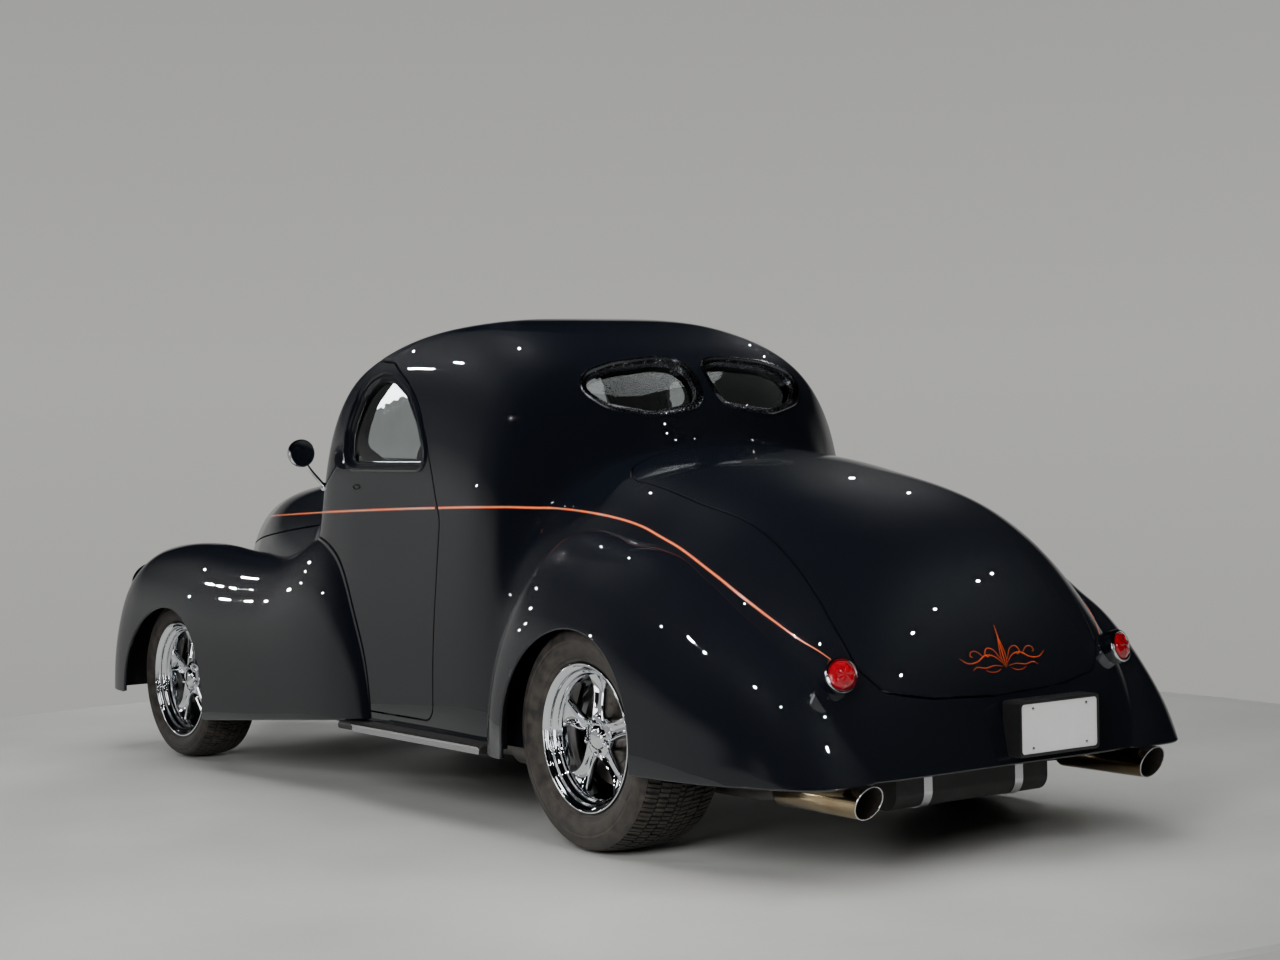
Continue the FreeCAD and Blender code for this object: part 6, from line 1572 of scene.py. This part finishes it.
class COUPE_OT_cabin(bpy.types.Operator):
    """Dashboard with dials, steering wheel and floor"""
    bl_idname = "coupe.cabin"
    bl_label = "Cabin"
    # Dials: place across and height, and radius of the rim
    dials = mm((385, 900, 46), (275, 900, 46), (120, 905, 30), (40, 905, 30), (-40, 905, 30))

    def execute(self, context):
        mesh = merged("dashboard")
        mesh.materials.append(stuff("grained_black_abs"))
        settle("dash_panel", mesh, "chassis", "dashboard")
        mesh = merged("steering_wheel")
        mesh.materials.append(leather())
        mesh.materials.append(stuff("bright_chrome"))
        _, centres, _ = arrays(mesh)
        centre = np.array((0.0555, 0.330, 1.016))
        far = np.linalg.norm(centres - centre, axis=1)
        mesh.polygons.foreach_set("material_index", (far < 0.168).astype(int))
        settle("steering_wheel_trimmed", mesh, "chassis", "steering_wheel")
        set_slots("floor_pan", lining())
        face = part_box("dashboard")[0].x
        form = Form()
        for y, z, size in self.dials:
            middle = (face + 0.002, y, z)
            form.turned([(-0.001, 0.0), (-0.001, size - 0.006)], middle, (-1, 0, 0), steps=40, mark=1)
            form.turned([(-0.002, size - 0.007), (0.004, size - 0.006), (0.007, size - 0.003), (0.006, size),
                         (-0.002, size)], middle, (-1, 0, 0), steps=48, mark=0, closed=True)
        mesh = form.mesh("dials", [stuff("bright_chrome"), stuff("printed_dial_card")], outward=False)
        settle("dash_dials", mesh, "chassis")
        return {"FINISHED"}


class COUPE_OT_chassis(bpy.types.Operator):
    """Frame, axles, tank, engine, grille and running boards in their finishes"""
    bl_idname = "coupe.chassis"
    bl_label = "Chassis"
    # Outlines of a rib and of the bright edge strip: sideways and upward
    rib = mm((-2.2, -1), (-1.6, 2.2), (1.6, 2.2), (2.2, -1))
    strip = mm((-10.5, 9.8), (-4, 10.2), (-0.5, 7), (0.4, 2), (0.4, -10), (-6, -13), (-4, 2))
    rib_step = 0.0062

    def execute(self, context):
        for nodes, material in (
                (("frame", "front_suspension", "knuckle_left", "knuckle_right", "rear_axle", "fuel_tank",
                  "radiator"), stuff("satin_chassis_enamel")),
                (("engine_block", "driveline"), stuff("enamelled_cast_iron")),
                (("tank_straps",), stuff("polished_aluminium")),
                (("grille",), stuff("bright_chrome")),
                (("running_boards",), stuff("moulded_mat_rubber"))):
            for node in nodes:
                set_slots(node, material)
        ribs = context.scene.coupe_trim.ribs
        lo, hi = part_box("running_boards")
        rib = Form()
        path = [(x, 0.722, 0.2500) for x in np.linspace(lo.x + 0.012, hi.x - 0.11, 12)]
        rib.swept(path, [(0, 0, 1)] * 12, self.rib)
        left = repeated(rib.mesh("rib", [], sharp=30), ribs, shift=(0, self.rib_step, 0),
                        material=stuff("moulded_mat_rubber"))
        form = Form()
        edge = [(x, hi.y - 0.0005, 0.2400) for x in np.linspace(lo.x + 0.002, hi.x - 0.10, 24)]
        form.swept(edge, [(0, 0, 1)] * 24, self.strip, mark=0)
        strip = form.mesh("strip", [], sharp=50)
        fitted = joined("board_fittings", [left, strip],
                        [stuff("moulded_mat_rubber"), stuff("polished_aluminium")])
        other = mirrored(fitted, "board_right")
        settle("board_fittings_left", fitted, "chassis")
        settle("board_fittings_right", other, "chassis")
        return {"FINISHED"}


class COUPE_OT_stage(bpy.types.Operator):
    """Pale floor, dark room, soft light, ceiling lamps and the camera"""
    bl_idname = "coupe.stage"
    bl_label = "Stage"
    # Spot lamps: place in the room, where each one points, and its share of the power
    lamps = (
        ((-5.69, -3.14, 4.5), (-1.97, 0.24, 0.62), 2.2), ((-4.60, -3.44, 4.5), (-1.95, 0.14, 0.68), 1.2),
        ((-3.33, -4.10, 4.5), (-1.91, -0.06, 0.74), 0.7), ((-2.86, -4.48, 4.5), (-1.90, -0.13, 0.75), 0.7),
        ((-7.85, -3.74, 4.5), (-2.01, 0.32, 0.52), 1.2), ((0.75, 4.69, 4.5), (-1.55, 0.76, 0.67), 0.8),
        ((-0.61, 3.69, 4.5), (-1.73, 0.74, 0.59), 0.8), ((-3.02, 2.53, 4.5), (-1.88, 0.70, 0.51), 2.2),
        ((-4.02, 1.33, 4.5), (-1.95, 0.67, 0.46), 0.7), ((4.05, -5.61, 4.5), (-1.48, 0.01, 1.02), 0.7),
        ((1.69, -4.62, 4.5), (-1.60, -0.09, 0.97), 0.7), ((4.81, 1.83, 4.5), (-0.07, 0.57, 1.37), 0.6),
        ((5.16, -0.04, 4.5), (0.08, 0.53, 1.43), 0.6), ((4.24, 1.33, 4.5), (-0.25, 0.55, 1.38), 0.6),
        ((2.19, 0.03, 4.5), (-0.47, 0.47, 1.42), 0.6), ((7.66, 3.46, 3.68), (0.89, 0.75, 0.68), 1.6),
        ((6.94, 3.95, 2.62), (0.84, 0.76, 0.64), 1.6), ((6.72, 4.16, 2.00), (0.80, 0.78, 0.60), 0.8),
        ((7.10, 3.84, 1.77), (0.50, 0.76, 0.66), 0.9), ((4.90, 5.62, 2.20), (0.32, 0.75, 0.65), 0.8))

    # Soft lamps: name, place, where each one points, size and share of the power
    soft_lamps = (("soft_overhead", (0.0, 0.0, 4.2), (0, 0, 0), 5.0, 0.8),
                  ("soft_side", (-4.5, 5.5, 3.0), (0, 0, 0.6), 3.0, 1.5),
                  ("soft_front", (6.0, -2.6, 2.6), (0.8, 0, 0.6), 2.6, 0.8))
    # Lamps that only bright metal catches: name, place, size and power
    metal_lamps = (("panel_low", (-2.2, 5.2, 0.25), 1.5, 22), ("panel_high", (0.8, 5.6, 2.4), 1.6, 34),
                   ("panel_back", (-6.5, 1.6, 1.6), 1.3, 22))
    sparks, spark_far, spark_size, spark_power = 12, 7.0, 0.22, 5
    # Camera: focal length and sensor in millimetres; yaw, pitch and roll in degrees; place
    lens, sensor = 68.71, 36
    view_angles, view_place = (-35.82, -1.50, -1.275), (-6.760, 4.568, 1.207)
    bright_pieces = ("rim_", "tail_lamp", "head_lamp", "door_mirror", "exhaust", "rear_window")

    def execute(self, context):
        scene = context.scene
        settings = scene.coupe_stage
        form = Form()
        radii = [0.0, 0.8, 1.6, 2.4, 3.2, 3.215]
        form.turned([(0 if r < 3.21 else -0.012, r) for r in radii], (0, 0, 0), (0, 0, 1), steps=160)
        mesh = form.mesh("floor", [stuff("sealed_concrete")], outward=False)
        floor = bpy.data.objects.new("floor", mesh)
        scene.collection.objects.link(floor)
        bm = bmesh.new()
        bm.from_mesh(mesh)
        wrong = [f for f in bm.faces if f.normal.z < 0]
        bmesh.ops.reverse_faces(bm, faces=wrong)
        bm.to_mesh(mesh)
        bm.free()
        self.room(scene)
        for name, place, aim, size, share in self.soft_lamps:
            self.area(scene, name, place, aim, size, settings.soft * share, False)
        for number, (place, aim, share) in enumerate(self.lamps):
            lamp = self.area(scene, "spot_%02d" % number, place, aim, 0.025 + 0.022 * share,
                             settings.spot * share, True)
            lamp.data.spread = radians(26)
        self.sparkle(scene)
        self.camera(scene)
        return {"FINISHED"}

    def sparkle(self, scene):
        """Lamps that only the bright metal and the rolled edges catch, as a showroom's many lamps do."""
        bright = bpy.data.collections.new("bright_metal")
        for item in scene.objects:
            if item.name.startswith(self.bright_pieces) or item.name.endswith("_edge"):
                bright.objects.link(item)
        rows = list(self.metal_lamps)
        for number in range(self.sparks):
            turn = radians(38 + 11 * number)
            place = (self.spark_far * cos(turn), self.spark_far * sin(turn), 0.5 + 0.9 * (number * 5 % 4))
            rows.append(("spark_%02d" % number, place, self.spark_size, self.spark_power))
        for name, place, size, power in rows:
            lamp = self.area(scene, name, place, (-0.6, 0.6, 0.4), size, power, True)
            lamp.light_linking.receiver_collection = bright

    def room(self, scene):
        """Pale wall for the eye and through the glass, dim showroom in the reflections."""
        world = bpy.data.worlds.new("room")
        scene.world = world
        world.use_nodes = True
        tree = world.node_tree
        tree.nodes.clear()
        where = add(tree, "ShaderNodeTexCoord").outputs["Generated"]
        parts = add(tree, "ShaderNodeSeparateXYZ", {0: where}).outputs
        height, ahead = parts["Z"], parts["X"]
        pale = add(tree, "ShaderNodeValToRGB", {0: spread(tree, height, 0, 1, -0.25, 0.35)})
        ramp = pale.color_ramp
        ramp.elements[0].color, ramp.elements[1].color = (*linear("#A5A4A0"), 1), (*linear("#9B9B98"), 1)
        middle = ramp.elements.new(0.45)
        middle.color = (*linear("#BAB9B5"), 1)
        # The wall ahead of the car and the floor are lit; the room behind and the ceiling are dark
        low = spread(tree, height, 1, 0, 0.10, 0.22)
        near = spread(tree, ahead, 0.02, 1, 0.0, 0.35)
        below = spread(tree, height, 1, 0, -0.05, 0.01)
        ground = add(tree, "ShaderNodeMath", {0: near, 1: below}, operation="MAXIMUM").outputs[0]
        lit = add(tree, "ShaderNodeMath", {0: low, 1: ground}, operation="MULTIPLY").outputs[0]
        dim = add(tree, "ShaderNodeMix", {0: lit, 6: (*linear("#07080A"), 1), 7: (*linear("#9A9A98"), 1)},
                  data_type="RGBA")
        ray = add(tree, "ShaderNodeLightPath").outputs
        seen = add(tree, "ShaderNodeMath", {0: ray["Is Camera Ray"], 1: ray["Is Transmission Ray"]},
                   operation="MAXIMUM").outputs[0]
        mix = add(tree, "ShaderNodeMix", {0: seen, 6: dim.outputs[2], 7: pale.outputs[0]}, data_type="RGBA")
        back = add(tree, "ShaderNodeBackground", {"Color": mix.outputs[2], "Strength": 1.0})
        add(tree, "ShaderNodeOutputWorld", {"Surface": back.outputs[0]})

    def area(self, scene, name, place, aim, size, power, shows):
        """Round lamp at a place, aimed at a point; one that doesn't show gives no reflections."""
        light = bpy.data.lights.new(name, "AREA")
        light.shape = "DISK"
        light.size = size
        light.energy = power
        lamp = bpy.data.objects.new(name, light)
        lamp.location = place
        lamp.rotation_euler = (Vector(aim) - Vector(place)).to_track_quat("-Z", "Y").to_euler()
        lamp.visible_glossy = shows
        scene.collection.objects.link(lamp)
        return lamp

    def camera(self, scene):
        """Camera where the photograph was taken from."""
        lens = bpy.data.cameras.new("camera")
        lens.sensor_width = self.sensor
        lens.lens = self.lens
        yaw, pitch, roll = (radians(angle) for angle in self.view_angles)
        ahead = Vector((cos(yaw) * cos(pitch), sin(yaw) * cos(pitch), sin(pitch)))
        right = ahead.cross(Vector((0, 0, 1))).normalized()
        up = right.cross(ahead)
        tilted = right * cos(roll) + up * sin(roll)
        top = up * cos(roll) - right * sin(roll)
        pose = Matrix((tilted, top, -ahead)).transposed().to_4x4()
        pose.translation = Vector(self.view_place)
        camera = bpy.data.objects.new("camera", lens)
        camera.matrix_world = pose
        scene.collection.objects.link(camera)
        scene.camera = camera


class COUPE_PT_panel(bpy.types.Panel):
    """Lists the sizes, colours and pieces of the coupe"""
    bl_label = "Coupe"
    bl_idname = "COUPE_PT_panel"
    bl_space_type = "VIEW_3D"
    bl_region_type = "UI"
    bl_category = "Coupe"

    def draw(self, context):
        for group in ("coupe_paint", "coupe_wheels", "coupe_trim", "coupe_stage"):
            settings = getattr(context.scene, group)
            box = self.layout.box()
            for name in settings.__annotations__:
                box.prop(settings, name)
        for operator in operators:
            self.layout.operator(operator.bl_idname)


settings_groups = (("coupe_paint", PaintSettings), ("coupe_wheels", WheelSettings),
                   ("coupe_trim", TrimSettings), ("coupe_stage", StageSettings))
operators = (COUPE_OT_panels, COUPE_OT_stripe, COUPE_OT_scroll, COUPE_OT_windows,
             COUPE_OT_edges, COUPE_OT_tyres, COUPE_OT_wheels, COUPE_OT_lamps, COUPE_OT_exhausts,
             COUPE_OT_plate, COUPE_OT_mirrors, COUPE_OT_seats, COUPE_OT_cabin, COUPE_OT_chassis,
             COUPE_OT_stage)


def register():
    for name, group in settings_groups:
        bpy.utils.register_class(group)
        setattr(bpy.types.Scene, name, bpy.props.PointerProperty(type=group))
    for item in operators + (COUPE_PT_panel,):
        bpy.utils.register_class(item)


def unregister():
    for item in (COUPE_PT_panel,) + operators[::-1]:
        bpy.utils.unregister_class(item)
    for name, group in settings_groups[::-1]:
        delattr(bpy.types.Scene, name)
        bpy.utils.unregister_class(group)


def main():
    register()
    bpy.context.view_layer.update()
    for operator in operators:
        space, name = operator.bl_idname.split(".")
        getattr(getattr(bpy.ops, space), name)()


if __name__ == "__main__":
    main()
